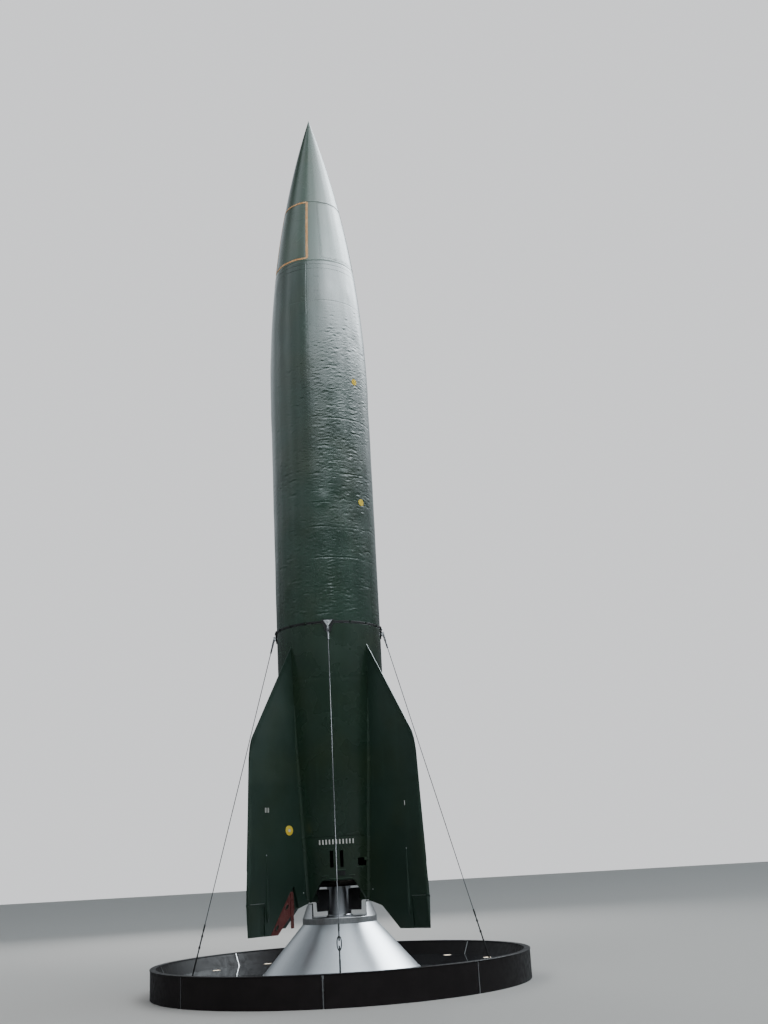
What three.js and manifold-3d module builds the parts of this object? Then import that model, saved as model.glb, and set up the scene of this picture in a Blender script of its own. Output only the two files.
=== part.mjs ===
// A tall liquid-fuel rocket with four fins, standing on its round display plinth.
// Millimetres, +Z up. The origin is on the floor under the plinth's centre. The plinth's front is -Y.
// The four fins lie on the diagonals: 1 is front right, then 2, 3 and 4 go anticlockwise seen from above.
import * as THREE from 'three';
import { mergeVertices } from 'three/addons/utils/BufferGeometryUtils.js';
import Module from 'manifold-3d';

const wasm = await Module();
wasm.setup();

// Driving dimensions of the rocket. Heights are over the floor unless a name says otherwise.
const FOOT = 790;
const LENGTH = 14036;
const TIP = FOOT + LENGTH;
const BODY_RADIUS = 825.5;
const OGIVE_LENGTH = 5580;
const OGIVE_FOOT = TIP - OGIVE_LENGTH;
const OGIVE_RADIUS = (OGIVE_LENGTH ** 2 + BODY_RADIUS ** 2) / (2 * BODY_RADIUS);
const TAPER_TOP = FOOT + 4100;
const TAPER_RADIUS = 43000;
const NOSE_JOINT = FOOT + 12030;
const NOSE_TIP_FOOT = TIP - 166;
const BAY_FOOT = FOOT + 10770;
const BELT = FOOT + 4470;
const SKIRT_TOP = FOOT + 1300;
const SKIRT_FOOT = FOOT + 400;
const SKIRT_WALL = 15;
const SKIRT_SHELF = 20;
const FACETS = 48;
const FACETS_SMALL = 24;
const SEAT = 0.3;
// How far cutting tools run past what they cut.
const REACH = 500;

// Instrument bay doors.
const DOOR = { foot: FOOT + 10820, top: FOOT + 12020, halfAngle: 35.5, thickness: 20, seam: 3 };
const DOOR_ROWS = 5;
const DOOR_CLEAR = 60;

// Fins: a line of stations from root to outer edge. Heights are over the fins' lower ends.
const FIN_STATIONS = [
  { radius: 520, top: 4668, half: 60 },
  { radius: 825.5, top: 4144, half: 56 },
  { radius: 1240, top: 3440, half: 45 },
  { radius: 1655, top: 2727, half: 34 },
  { radius: 1690, top: 2610, half: 33 },
  { radius: 1714, top: 2440, half: 32 },
  { radius: 1742, top: 1800, half: 31 },
  { radius: 1786, top: 900, half: 29 },
];
const FIN_CHORD_STEPS = [0, 0.03, 0.12, 0.3, 0.5, 0.7, 1];
const FIN_FULLEST = 0.7;
const FIN_EDGE = 5;
// The fins' inner lower edge, from the root outward: radius, height.
const FIN_LOWER_EDGE = [[500, 406], [650, 394], [920, 315], [1240, 0]];

// Air rudders at the fins' outer lower corners.
const RUDDER = { inner: 1503, outer: 1784, axis: 395, nose: 29, tail: 8, notch: 1495, ceiling: 432 };
const RUDDER_PIN = { radius: 12, bore: 12.6, end: 1459, boreEnd: 1457, sunk: 1543 };

// Drive fairings: spindles through the fins beside the rudders. Radial half width, half thickness.
const FAIRING_RADIUS = 1447;
const FAIRING_SECTIONS = [
  { height: 1170, wide: 4, thick: 24 },
  { height: 1060, wide: 9, thick: 41 },
  { height: 900, wide: 15, thick: 49 },
  { height: 650, wide: 23, thick: 56 },
  { height: 420, wide: 29, thick: 63 },
  { height: 290, wide: 30, thick: 66 },
  { height: 215, wide: 23, thick: 56 },
  { height: 180, wide: 8, thick: 44 },
];

// The open bay low on fin 4, where its cover is off and the primed rib shows.
const OPEN_BAY = [[940, 640], [1000, 590], [1415, -20], [1200, -20], [860, 345]];
const OPEN_BAY_FLOOR = 8;
const RIB_THICKNESS = 10;
const RIB_OUTLINE = [[944, 560], [995, 560], [1374, 4], [1246, 4], [925, 322]];
const RIB_HOLES = [{ radius: 1060, height: 365 }, { radius: 1258, height: 100 }];
const RIB_HOLE = { across: 24, along: 40, lean: 0.6 };
const RIB_STRIP = { inner: 940, outer: 996, low: 70, high: 555, near: 14, far: 24 };

// Jet vanes on radial shafts in the skirt's carriers.
const VANE = { inner: 205, outer: 455, axis: 430, half: 15, edge: 4 };
const VANE_CHORD = { foot: 260, fullFrom: 350, fullTo: 500, top: 560 };
const VANE_SHAFT = { radius: 20, bore: 21, end: 540, flange: 44, flangeStart: 435, flangeEnd: 468 };
const CARRIER = { inner: 478, outer: 690, half: 45, foot: 400, top: 505, boreEnd: 546, inset: -2 };

// Openings in the skirt. Heights are over the fins' lower ends.
const ARCH = { halfFoot: 402, foot: 392, halfTop: 225, top: 690, flare: 20, below: 360 };
const SLOTS = [{ side: -78, width: 50 }, { side: 68, width: 50 }];
const SLOT_HEIGHTS = { foot: 870, top: 1105 };
const HATCH = { angle: -58.5, from: 450, width: 150, foot: 880, top: 990 };

// The engine: a plain block for the chamber, and the open bell below it.
const BELL = [[365, 600], [345, 710], [310, 850], [262, 1010], [222, 1140], [200, 1250]];
const BELL_WALL = 14;
const CHAMBER = { radius: 470, shoulder: 1510, top: 2110, bore: 480 };

// The belt over the joint between the tank shells and the tail, with the stay plates' pads.
const BELT_BAND = { half: 15, proud: 7, inner: BODY_RADIUS - 20 };
const PAD = { halfTop: 100, halfFoot: 42, top: 34, foot: -150, face: 840 };
const PLATE = { halfTop: 82, halfFoot: 16, top: 26, foot: -92, thickness: 10 };
const LUG = { half: 9, top: -40, foot: -112, reach: 48, sunk: 2 };

// Stays from the belt to the plinth's floor, with a turnbuckle low down.
const STAY_HIGH = { radius: 882, height: FOOT + 4350 };
const STAY_FOOT_RADIUS = 2196;
const STAY = { wire: 8, rod: 12, terminal: 14, terminalLength: 130, overlap: 4 };
const EYE = { low: 430, high: 590, half: 36, thickness: 18, band: 14 };
const FORK = { cheek: 6, half: 15, bridgeDrop: 60, bridge: 14, past: 36 };
const ANCHOR = { size: 150, thickness: 12, boss: 34, bossHeight: 46, bossInset: 6 };

// The plinth. Its joints are turned a little from the row's axes.
const PLINTH = { radius: 2740, floor: 200, height: 403, turn: -4.5, panels: 8, facets: 64 };
const RIM = { outer: 2772, innerTop: 2690, innerFoot: 2600, top: 390, jointHalf: 13.3 };
const RIM_STRIP = { half: 12, inset: 1, low: 6, sunk: 4 };
const TRIM = { outer: 2780, inner: 2686 };
const DECK = { inner: 1166, outer: 2597, thickness: 5.7 };
const CONE = { footRadius: 1160, topRadius: 550, top: 875 };
const COLLAR = { radius: 552, top: 960 };
const CROWN = { topRadius: 472, top: 1155, wall: 12, window: 400, sunk: 4 };
const POST = { radius: 177, neck: FOOT + 770 };

const material = (color, roughness, metalness = 0) =>
  new THREE.MeshStandardMaterial({ color, roughness, metalness });

const GREEN = material(0x2b4233, 0.4);
const GREEN_DARK = material(0x24382c, 0.45);
const PRIMER = material(0xa8574c, 0.6);
const GRAPHITE = material(0x17181a, 0.7);
const STEEL = material(0x9fa3a6, 0.35, 1);
const ENGINE_STEEL = material(0x55595b, 0.5, 0.8);
const BLACK = material(0x1b1d1e, 0.5);
const CHARCOAL = material(0x2c2a2b, 0.45);
const DECK_GLOSS = material(0x2a2c31, 0.15);
const SILVER = material(0xb9bdc2, 0.3, 1);
const TRIM_LIGHT = material(0xbfc0bf, 0.4, 0.6);

// Solids

// A closed geometry as a solid for cutting. A profile may run either way round, so its faces turn out here.
function solidOf(geometry) {
  const bare = geometry.clone();
  bare.deleteAttribute('normal');
  bare.deleteAttribute('uv');
  const merged = mergeVertices(bare, 1e-3);
  const corners = merged.index.array;
  const points = merged.attributes.position;
  const kept = [];
  let volume = 0;
  for (let i = 0; i < corners.length; i += 3) {
    const [a, b, c] = corners.slice(i, i + 3);
    if (a === b || b === c || c === a) continue;
    kept.push(a, b, c);
    const pa = new THREE.Vector3().fromBufferAttribute(points, a);
    const pb = new THREE.Vector3().fromBufferAttribute(points, b);
    const pc = new THREE.Vector3().fromBufferAttribute(points, c);
    volume += pa.dot(pb.cross(pc));
  }
  if (volume < 0) kept.reverse();
  const mesh = new wasm.Mesh({
    numProp: 3,
    vertProperties: new Float32Array(points.array),
    triVerts: new Uint32Array(kept),
  });
  mesh.merge();
  return new wasm.Manifold(mesh);
}

function geometryOf(solid) {
  const mesh = solid.getMesh();
  const geometry = new THREE.BufferGeometry();
  geometry.setAttribute('position', new THREE.BufferAttribute(mesh.vertProperties, 3));
  geometry.setIndex(new THREE.BufferAttribute(mesh.triVerts, 1));
  return geometry;
}

const join = (...solids) => solids.reduce((whole, piece) => whole.add(piece));
const cut = (solid, ...tools) => tools.reduce((left, tool) => left.subtract(tool), solid);

// A profile of [radius, height] turned about +Z. A profile that leaves the axis closes on itself.
function turned(profile, facets = FACETS) {
  const points = profile.map(([radius, height]) => new THREE.Vector2(radius, height));
  const onAxis = profile[0][0] === 0 && profile.at(-1)[0] === 0;
  if (!onAxis) points.push(points[0].clone());
  return solidOf(new THREE.LatheGeometry(points, facets).rotateX(Math.PI / 2));
}

// An outline of [x, y] raised from the height low to the height high.
function raised(outline, low, high) {
  const shape = new THREE.Shape(outline.map(([x, y]) => new THREE.Vector2(x, y)));
  return new THREE.ExtrudeGeometry(shape, { depth: high - low, bevelEnabled: false }).translate(0, 0, low);
}

// An outline of [x, z] made solid from the depth near to the depth far along +Y.
const upright = (outline, near, far, holes = []) => {
  const shape = new THREE.Shape(outline.map(([x, z]) => new THREE.Vector2(x, z)));
  holes.forEach((hole) => shape.holes.push(hole));
  const options = { depth: far - near, bevelEnabled: false, curveSegments: 8 };
  const geometry = new THREE.ExtrudeGeometry(shape, options);
  return geometry.rotateX(Math.PI / 2).translate(0, far, 0);
};

// An outline of [y, z] made solid from the radius near to the radius far along +X.
const facing = (outline, near, far) => {
  const shape = new THREE.Shape(outline.map(([y, z]) => new THREE.Vector2(y, z)));
  const geometry = new THREE.ExtrudeGeometry(shape, { depth: far - near, bevelEnabled: false });
  return geometry.rotateX(Math.PI / 2).rotateZ(Math.PI / 2).translate(near, 0, 0);
};

const box = (x, y, z) => {
  const sizes = [x[1] - x[0], y[1] - y[0], z[1] - z[0]];
  const centre = [x[0] + sizes[0] / 2, y[0] + sizes[1] / 2, z[0] + sizes[2] / 2];
  return new THREE.BoxGeometry(...sizes).translate(...centre);
};

const rodAlongX = (radius, near, far, height, sides = 14) =>
  new THREE.CylinderGeometry(radius, radius, far - near, sides)
    .rotateZ(Math.PI / 2)
    .translate((near + far) / 2, 0, height);

const rodAlongZ = (radius, low, high, sides = 8) =>
  new THREE.CylinderGeometry(radius, radius, high - low, sides)
    .rotateX(Math.PI / 2)
    .translate(0, 0, (low + high) / 2);

// A wedge about +X with the given half angle in degrees.
function wedge(halfAngle, reach, low, high) {
  const side = reach * Math.tan(THREE.MathUtils.degToRad(halfAngle));
  return solidOf(raised([[0, 0], [reach, -side], [reach, side]], low, high));
}

// The scene graph

const rocket = new THREE.Group();

function place(name, solid, finish, parent = rocket) {
  const geometry = solid.isBufferGeometry ? geometryOf(solidOf(solid)) : geometryOf(solid);
  const mesh = new THREE.Mesh(geometry, finish);
  mesh.name = name;
  parent.add(mesh);
  return mesh;
}

// A group whose +X points outward at the given angle from the row's +X.
function spoke(angle) {
  const group = new THREE.Group();
  group.rotation.z = THREE.MathUtils.degToRad(angle);
  rocket.add(group);
  return group;
}

const FIN_ANGLES = [-45, 45, 135, 225];
const SIDE_ANGLES = [-90, 0, 90, 180];

// The body's outer surface

function bodyRadius(height) {
  if (height > OGIVE_FOOT) {
    return Math.sqrt(OGIVE_RADIUS ** 2 - (height - OGIVE_FOOT) ** 2) - (OGIVE_RADIUS - BODY_RADIUS);
  }
  const drop = TAPER_TOP - height;
  return drop <= 0 ? BODY_RADIUS : BODY_RADIUS - drop ** 2 / (2 * TAPER_RADIUS);
}

// Points on the surface from one height to another. offset stands proud of it.
function skin(low, high, steps, offset = 0) {
  return Array.from({ length: steps + 1 }, (_, i) => {
    const height = low + ((high - low) * i) / steps;
    return [bodyRadius(height) + offset, height];
  });
}

// The tail's two stretches share these rows with whatever is seated on them.
const skirtSkin = (offset = 0) => skin(SKIRT_FOOT, SKIRT_TOP, 3, offset);
const tailSkin = (offset = 0) => skin(SKIRT_TOP + SEAT, TAPER_TOP, 6, offset);

function addNose() {
  const tip = skin(NOSE_TIP_FOOT + SEAT, TIP - 20, 3);
  const tipProfile = [[0, NOSE_TIP_FOOT + SEAT], ...tip, [3, TIP - 3], [0, TIP]];
  place('nose_tip', turned(tipProfile, FACETS_SMALL), GREEN);
  const shell = skin(NOSE_JOINT + SEAT, NOSE_TIP_FOOT, 7);
  place('nose_cone', turned([[0, NOSE_JOINT + SEAT], ...shell, [0, NOSE_TIP_FOOT]]), GREEN);
}

function addInstrumentBay() {
  const foot = BAY_FOOT + SEAT;
  const whole = turned([[0, foot], ...skin(foot, NOSE_JOINT, DOOR_ROWS), [0, NOSE_JOINT]]);
  const pocketOuter = skin(DOOR.foot, DOOR.top, 1, DOOR_CLEAR);
  const pocketInner = skin(DOOR.foot, DOOR.top, DOOR_ROWS, -DOOR.thickness - SEAT).reverse();
  const ring = turned([...pocketOuter, ...pocketInner]);
  const pocket = ring.intersect(wedge(DOOR.halfAngle, 2 * REACH, BAY_FOOT, NOSE_JOINT));
  const pockets = FIN_ANGLES.map((angle) =>
    solidOf(geometryOf(pocket).rotateZ(THREE.MathUtils.degToRad(angle))));
  place('instrument_bay', cut(whole, ...pockets), GREEN);

  const low = DOOR.foot + DOOR.seam;
  const high = DOOR.top - DOOR.seam;
  const doorInside = skin(low, high, DOOR_ROWS, -DOOR.thickness).reverse();
  const slab = turned([...skin(low, high, DOOR_ROWS), ...doorInside]);
  const seamAngle = THREE.MathUtils.radToDeg(DOOR.seam / BODY_RADIUS);
  const door = slab.intersect(wedge(DOOR.halfAngle - seamAngle, 2 * REACH, BAY_FOOT, NOSE_JOINT));
  FIN_ANGLES.forEach((angle, i) => place(`bay_door_${i + 1}`, door, GREEN, spoke(angle)));
}

// Two half shells meet along a seam that runs the whole tank section.
const SHELL_SEAM_ANGLE = -101;
const SHELL_SEAM_HALF = 0.6;

function addTankShells() {
  const outside = [...skin(BELT + SEAT, OGIVE_FOOT, 1), ...skin(OGIVE_FOOT, BAY_FOOT, 6).slice(1)];
  const whole = turned([[0, BELT + SEAT], ...outside, [0, BAY_FOOT]]);
  const reach = 2 * REACH;
  const half = (side) => {
    const x = [side * SHELL_SEAM_HALF, side * reach].sort((a, b) => a - b);
    const slab = box(x, [-reach, reach], [BELT - reach, BAY_FOOT + reach]);
    return solidOf(slab.rotateZ(THREE.MathUtils.degToRad(SHELL_SEAM_ANGLE + 90)));
  };
  place('tank_shell_left', whole.intersect(half(-1)), GREEN);
  place('tank_shell_right', whole.intersect(half(1)), GREEN);
}

function addBelt() {
  const bandOuter = BODY_RADIUS + BELT_BAND.proud;
  const band = turned([
    [BELT_BAND.inner, BELT - BELT_BAND.half],
    [bandOuter, BELT - BELT_BAND.half],
    [bandOuter, BELT + BELT_BAND.half],
    [BELT_BAND.inner, BELT + BELT_BAND.half],
  ]);
  const outline = [
    [-PAD.halfTop, BELT + PAD.top],
    [-PAD.halfFoot, BELT + PAD.foot],
    [PAD.halfFoot, BELT + PAD.foot],
    [PAD.halfTop, BELT + PAD.top],
  ];
  const pads = SIDE_ANGLES.map((angle) =>
    solidOf(facing(outline, BELT_BAND.inner, PAD.face).rotateZ(THREE.MathUtils.degToRad(angle))));
  const core = BODY_RADIUS + SEAT;
  const [low, high] = [BELT - REACH, BELT + REACH];
  const body = turned([[0, low], [core, low], [core, high], [0, high]]);
  place('joint_belt', cut(join(band, ...pads), body), BLACK);
}

// The tail: a closed upper part round the engine, and the open skirt below it

function addTailSection() {
  const outside = [...tailSkin(), [BODY_RADIUS, BELT - SEAT]];
  const ceiling = FOOT + CHAMBER.top + SEAT;
  const bore = [[0, ceiling], [CHAMBER.bore, ceiling], [CHAMBER.bore, SKIRT_TOP + SEAT]];
  place('tail_section', turned([...bore, ...outside, [0, BELT - SEAT]]), GREEN);
}

function addSkirt() {
  const outside = skirtSkin();
  const shelf = SKIRT_TOP - SKIRT_SHELF;
  const inside = skin(SKIRT_FOOT, shelf, 3, -SKIRT_WALL).reverse();
  const shell = turned([...outside, [CHAMBER.bore, SKIRT_TOP], [CHAMBER.bore, shelf], ...inside]);
  const [coreLow, coreHigh] = [SKIRT_FOOT - REACH, SKIRT_TOP];
  const carrierCore = turned([[0, coreLow], ...skin(coreLow, coreHigh, 6, CARRIER.inset), [0, coreHigh]]);
  const block = box(
    [CARRIER.inner, CARRIER.outer],
    [-CARRIER.half, CARRIER.half],
    [FOOT + CARRIER.foot, FOOT + CARRIER.top],
  );
  const bore = rodAlongX(VANE_SHAFT.bore, VANE_SHAFT.flangeEnd, CARRIER.boreEnd, FOOT + VANE.axis);
  const carrier = cut(solidOf(block).intersect(carrierCore), solidOf(bore));
  const carriers = FIN_ANGLES.map((angle) =>
    solidOf(geometryOf(carrier).rotateZ(THREE.MathUtils.degToRad(angle))));

  const arch = [
    [-ARCH.halfFoot - ARCH.flare, FOOT + ARCH.below],
    [ARCH.halfFoot + ARCH.flare, FOOT + ARCH.below],
    [ARCH.halfFoot, FOOT + ARCH.foot],
    [ARCH.halfTop, FOOT + ARCH.top],
    [-ARCH.halfTop, FOOT + ARCH.top],
    [-ARCH.halfFoot, FOOT + ARCH.foot],
  ];
  const through = 2 * REACH;
  const tools = [0, 90].map((angle) =>
    solidOf(upright(arch, -through, through).rotateZ(THREE.MathUtils.degToRad(angle))));
  const slotZ = [FOOT + SLOT_HEIGHTS.foot, FOOT + SLOT_HEIGHTS.top];
  SLOTS.forEach(({ side, width }) => {
    tools.push(solidOf(box([side - width / 2, side + width / 2], [-through, through], slotZ)));
  });
  const hatchZ = [FOOT + HATCH.foot, FOOT + HATCH.top];
  const hatch = box([HATCH.from, through], [-HATCH.width / 2, HATCH.width / 2], hatchZ);
  tools.push(solidOf(hatch.rotateZ(THREE.MathUtils.degToRad(HATCH.angle))));
  place('tail_skirt', join(cut(shell, ...tools), ...carriers), GREEN);
}

function addEngine() {
  const inside = BELL.map(([radius, height]) => [radius, FOOT + height]).reverse();
  const outside = BELL.map(([radius, height]) => [radius + BELL_WALL, FOOT + height]);
  place('engine', turned([
    [0, FOOT + BELL.at(-1)[1] + 20],
    ...inside,
    ...outside,
    [CHAMBER.radius, FOOT + CHAMBER.shoulder],
    [CHAMBER.radius, FOOT + CHAMBER.top],
    [0, FOOT + CHAMBER.top],
  ], FACETS_SMALL), ENGINE_STEEL);
}

// Fins

// Half thickness at a share of the chord, counted down from the leading edge.
function finHalf(station, share) {
  if (share < FIN_FULLEST) {
    return Math.max(FIN_EDGE, station.half * Math.sin((share / FIN_FULLEST) * (Math.PI / 2)));
  }
  return station.half * (1 - 0.35 * ((share - FIN_FULLEST) / (1 - FIN_FULLEST)) ** 2);
}

function finBlank() {
  const rows = FIN_CHORD_STEPS.length;
  const positions = [];
  [1, -1].forEach((face) => {
    FIN_STATIONS.forEach((station) => {
      FIN_CHORD_STEPS.forEach((share) => {
        positions.push(station.radius, face * finHalf(station, share), FOOT + station.top * (1 - share));
      });
    });
  });
  const at = (column, row, face) => (face * FIN_STATIONS.length + column) * rows + row;
  const index = [];
  const quad = (a, b, c, d) => index.push(a, b, c, a, c, d);
  const lastColumn = FIN_STATIONS.length - 1;
  const lastRow = rows - 1;
  for (let i = 0; i < lastColumn; i++) {
    for (let j = 0; j < lastRow; j++) {
      quad(at(i, j, 0), at(i, j + 1, 0), at(i + 1, j + 1, 0), at(i + 1, j, 0));
      quad(at(i, j, 1), at(i + 1, j, 1), at(i + 1, j + 1, 1), at(i, j + 1, 1));
    }
    quad(at(i, 0, 0), at(i + 1, 0, 0), at(i + 1, 0, 1), at(i, 0, 1));
    quad(at(i, lastRow, 0), at(i, lastRow, 1), at(i + 1, lastRow, 1), at(i + 1, lastRow, 0));
  }
  for (let j = 0; j < lastRow; j++) {
    quad(at(0, j, 0), at(0, j, 1), at(0, j + 1, 1), at(0, j + 1, 0));
    quad(at(lastColumn, j, 0), at(lastColumn, j + 1, 0), at(lastColumn, j + 1, 1), at(lastColumn, j, 1));
  }
  const geometry = new THREE.BufferGeometry();
  geometry.setAttribute('position', new THREE.Float32BufferAttribute(positions, 3));
  geometry.setIndex(index);
  return solidOf(geometry);
}

// The spindle of a drive fairing. grow widens it all round for the slot in the fin.
function fairingSpindle(grow = 0) {
  const sides = 12;
  const positions = [];
  const index = [];
  FAIRING_SECTIONS.forEach(({ height, wide, thick }, row) => {
    const end = row === 0 ? grow : row === FAIRING_SECTIONS.length - 1 ? -grow : 0;
    for (let i = 0; i < sides; i++) {
      const turn = (2 * Math.PI * i) / sides;
      const x = FAIRING_RADIUS + (wide + grow) * Math.cos(turn);
      const y = (thick + grow) * Math.sin(turn);
      positions.push(x, y, FOOT + height + end);
    }
  });
  const last = (FAIRING_SECTIONS.length - 1) * sides;
  for (let i = 0; i < sides; i++) {
    const next = (i + 1) % sides;
    for (let row = 0; row < last; row += sides) {
      index.push(row + i, row + next, row + sides + next, row + i, row + sides + next, row + sides + i);
    }
  }
  for (let i = 1; i < sides - 1; i++) {
    index.push(0, i + 1, i, last, last + i, last + i + 1);
  }
  const geometry = new THREE.BufferGeometry();
  geometry.setAttribute('position', new THREE.Float32BufferAttribute(positions, 3));
  geometry.setIndex(index);
  return solidOf(geometry);
}

const overFoot = (outline) => outline.map(([across, height]) => [across, FOOT + height]);

function addFins() {
  const below = FOOT - REACH;
  const envelope = turned([
    [0, below],
    [bodyRadius(below) + SEAT, below],
    ...skirtSkin(SEAT),
    ...tailSkin(SEAT),
    [BODY_RADIUS + SEAT, BELT + REACH],
    [0, BELT + REACH],
  ]);
  const edgeRoot = FIN_LOWER_EDGE[0];
  const edgeTip = FIN_LOWER_EDGE.at(-1);
  const underOutline = [...FIN_LOWER_EDGE, [edgeTip[0], -REACH], [edgeRoot[0], -REACH]];
  const under = solidOf(upright(overFoot(underOutline), -REACH, REACH));
  const notchX = [RUDDER.notch, RUDDER.outer + REACH];
  const notch = solidOf(box(notchX, [-REACH, REACH], [below, FOOT + RUDDER.ceiling]));
  const bore = solidOf(rodAlongX(RUDDER_PIN.bore, RUDDER_PIN.boreEnd, RUDDER.inner, FOOT + RUDDER.axis, 16));
  const fin = cut(finBlank(), envelope, under, notch, bore, fairingSpindle(SEAT));
  const fairing = cut(fairingSpindle(), bore);
  const openBay = solidOf(upright(overFoot(OPEN_BAY), OPEN_BAY_FLOOR, REACH));
  FIN_ANGLES.forEach((angle, i) => {
    const number = i + 1;
    const open = number === 4;
    const group = spoke(angle);
    place(`fin_${number}`, open ? cut(fin, openBay) : fin, GREEN, group);
    place(`drive_fairing_${number}`, fairing, GREEN_DARK, group);
    place(`air_rudder_${number}`, airRudder(), GREEN, group);
    place(`jet_vane_${number}`, jetVane(), GRAPHITE, group);
    if (open) place('fin_4_rib', finRib(), PRIMER, group);
  });
}

// The bare primed rib in the open bay, with its two holes and the strip along its root.
function finRib() {
  const near = OPEN_BAY_FLOOR + SEAT;
  const holes = RIB_HOLES.map(({ radius, height }) =>
    new THREE.Path().absellipse(radius, FOOT + height, RIB_HOLE.across, RIB_HOLE.along, 0, 2 * Math.PI, false,
      RIB_HOLE.lean));
  const plate = solidOf(upright(overFoot(RIB_OUTLINE), near, near + RIB_THICKNESS, holes));
  const strip = box(
    [RIB_STRIP.inner, RIB_STRIP.outer],
    [RIB_STRIP.near, RIB_STRIP.far],
    [FOOT + RIB_STRIP.low, FOOT + RIB_STRIP.high],
  );
  return join(plate, solidOf(strip));
}

// An air rudder: a round nose about the hinge line, tapering to its lower edge.
function airRudder() {
  const outline = [];
  const steps = 10;
  for (let i = 0; i <= steps; i++) {
    const turn = (Math.PI * i) / steps;
    outline.push([RUDDER.nose * Math.cos(turn), FOOT + RUDDER.axis + RUDDER.nose * Math.sin(turn)]);
  }
  outline.push([-RUDDER.tail, FOOT], [RUDDER.tail, FOOT]);
  const blade = solidOf(facing(outline, RUDDER.inner, RUDDER.outer));
  const pin = rodAlongX(RUDDER_PIN.radius, RUDDER_PIN.end, RUDDER_PIN.sunk, FOOT + RUDDER.axis, 16);
  return join(blade, solidOf(pin));
}

// A jet vane: a flat blade with thinned edges on a flanged shaft.
function jetVane() {
  const { half, edge } = VANE;
  const { foot, fullFrom, fullTo, top } = VANE_CHORD;
  const outline = [
    [-edge, foot],
    [edge, foot],
    [half, fullFrom],
    [half, fullTo],
    [edge, top],
    [-edge, top],
    [-half, fullTo],
    [-half, fullFrom],
  ];
  const blade = solidOf(facing(overFoot(outline), VANE.inner, VANE.outer));
  const { radius, end, flange, flangeStart, flangeEnd } = VANE_SHAFT;
  const disc = rodAlongX(flange, flangeStart, flangeEnd, FOOT + VANE.axis, 16);
  const shaft = rodAlongX(radius, flangeStart, end, FOOT + VANE.axis);
  return join(blade, solidOf(disc), solidOf(shaft));
}

// Stays

function stayPlate() {
  const outline = [
    [-PLATE.halfTop, BELT + PLATE.top],
    [-PLATE.halfFoot, BELT + PLATE.foot],
    [PLATE.halfFoot, BELT + PLATE.foot],
    [PLATE.halfTop, BELT + PLATE.top],
  ];
  const near = PAD.face + SEAT;
  const plate = solidOf(facing(outline, near, near + PLATE.thickness));
  const lugX = [near + LUG.sunk, near + LUG.reach];
  const lug = box(lugX, [-LUG.half, LUG.half], [BELT + LUG.foot, BELT + LUG.top]);
  return join(plate, solidOf(lug));
}

// One stay in its own frame: it rises from its foot at the origin along +Z.
function stayLine(length) {
  const bridge = length - FORK.bridgeDrop;
  const cheekNear = LUG.half + SEAT;
  const cheekFar = cheekNear + FORK.cheek;
  const eyeMiddle = (EYE.low + EYE.high) / 2;
  const eyeOutline = (grow) => {
    const half = EYE.half + grow;
    return [
      [-half / 2, EYE.low - grow],
      [half / 2, EYE.low - grow],
      [half, eyeMiddle],
      [half / 2, EYE.high + grow],
      [-half / 2, EYE.high + grow],
      [-half, eyeMiddle],
    ];
  };
  const eye = cut(
    solidOf(facing(eyeOutline(0), -EYE.thickness / 2, EYE.thickness / 2)),
    solidOf(facing(eyeOutline(-EYE.band), -EYE.thickness, EYE.thickness)),
  );
  const across = [-FORK.half, FORK.half];
  const cheekZ = [bridge - FORK.bridge, length + FORK.past];
  return join(
    solidOf(rodAlongZ(STAY.rod, ANCHOR.thickness / 2, EYE.low + STAY.overlap)),
    eye,
    solidOf(rodAlongZ(STAY.wire, EYE.high - STAY.overlap, bridge)),
    solidOf(rodAlongZ(STAY.terminal, bridge - STAY.terminalLength, bridge)),
    solidOf(box(across, [-cheekFar, cheekFar], [bridge - FORK.bridge, bridge])),
    solidOf(box(across, [cheekNear, cheekFar], cheekZ)),
    solidOf(box(across, [-cheekFar, -cheekNear], cheekZ)),
  );
}

function addStays() {
  const foot = PLINTH.floor + SEAT + DECK.thickness + SEAT;
  const rise = STAY_HIGH.height - foot - ANCHOR.thickness;
  const run = STAY_FOOT_RADIUS - STAY_HIGH.radius;
  const lean = Math.atan2(run, rise);
  const length = Math.hypot(rise, run);
  const line = geometryOf(stayLine(length)).rotateY(-lean);
  line.translate(STAY_FOOT_RADIUS, 0, foot + ANCHOR.thickness);
  const half = ANCHOR.size / 2;
  const baseX = [STAY_FOOT_RADIUS - half, STAY_FOOT_RADIUS + half];
  const base = box(baseX, [-half, half], [foot, foot + ANCHOR.thickness]);
  const bossFoot = foot + ANCHOR.thickness / 2;
  const boss = rodAlongZ(ANCHOR.boss, bossFoot, foot + ANCHOR.bossHeight, 16)
    .translate(STAY_FOOT_RADIUS - ANCHOR.bossInset, 0, 0);
  const stay = join(solidOf(line), solidOf(base), solidOf(boss));
  SIDE_ANGLES.forEach((angle, i) => {
    const group = spoke(angle);
    place(`stay_plate_${i + 1}`, stayPlate(), STEEL, group);
    place(`stay_${i + 1}`, stay, STEEL, group);
  });
}

// The stand

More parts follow.
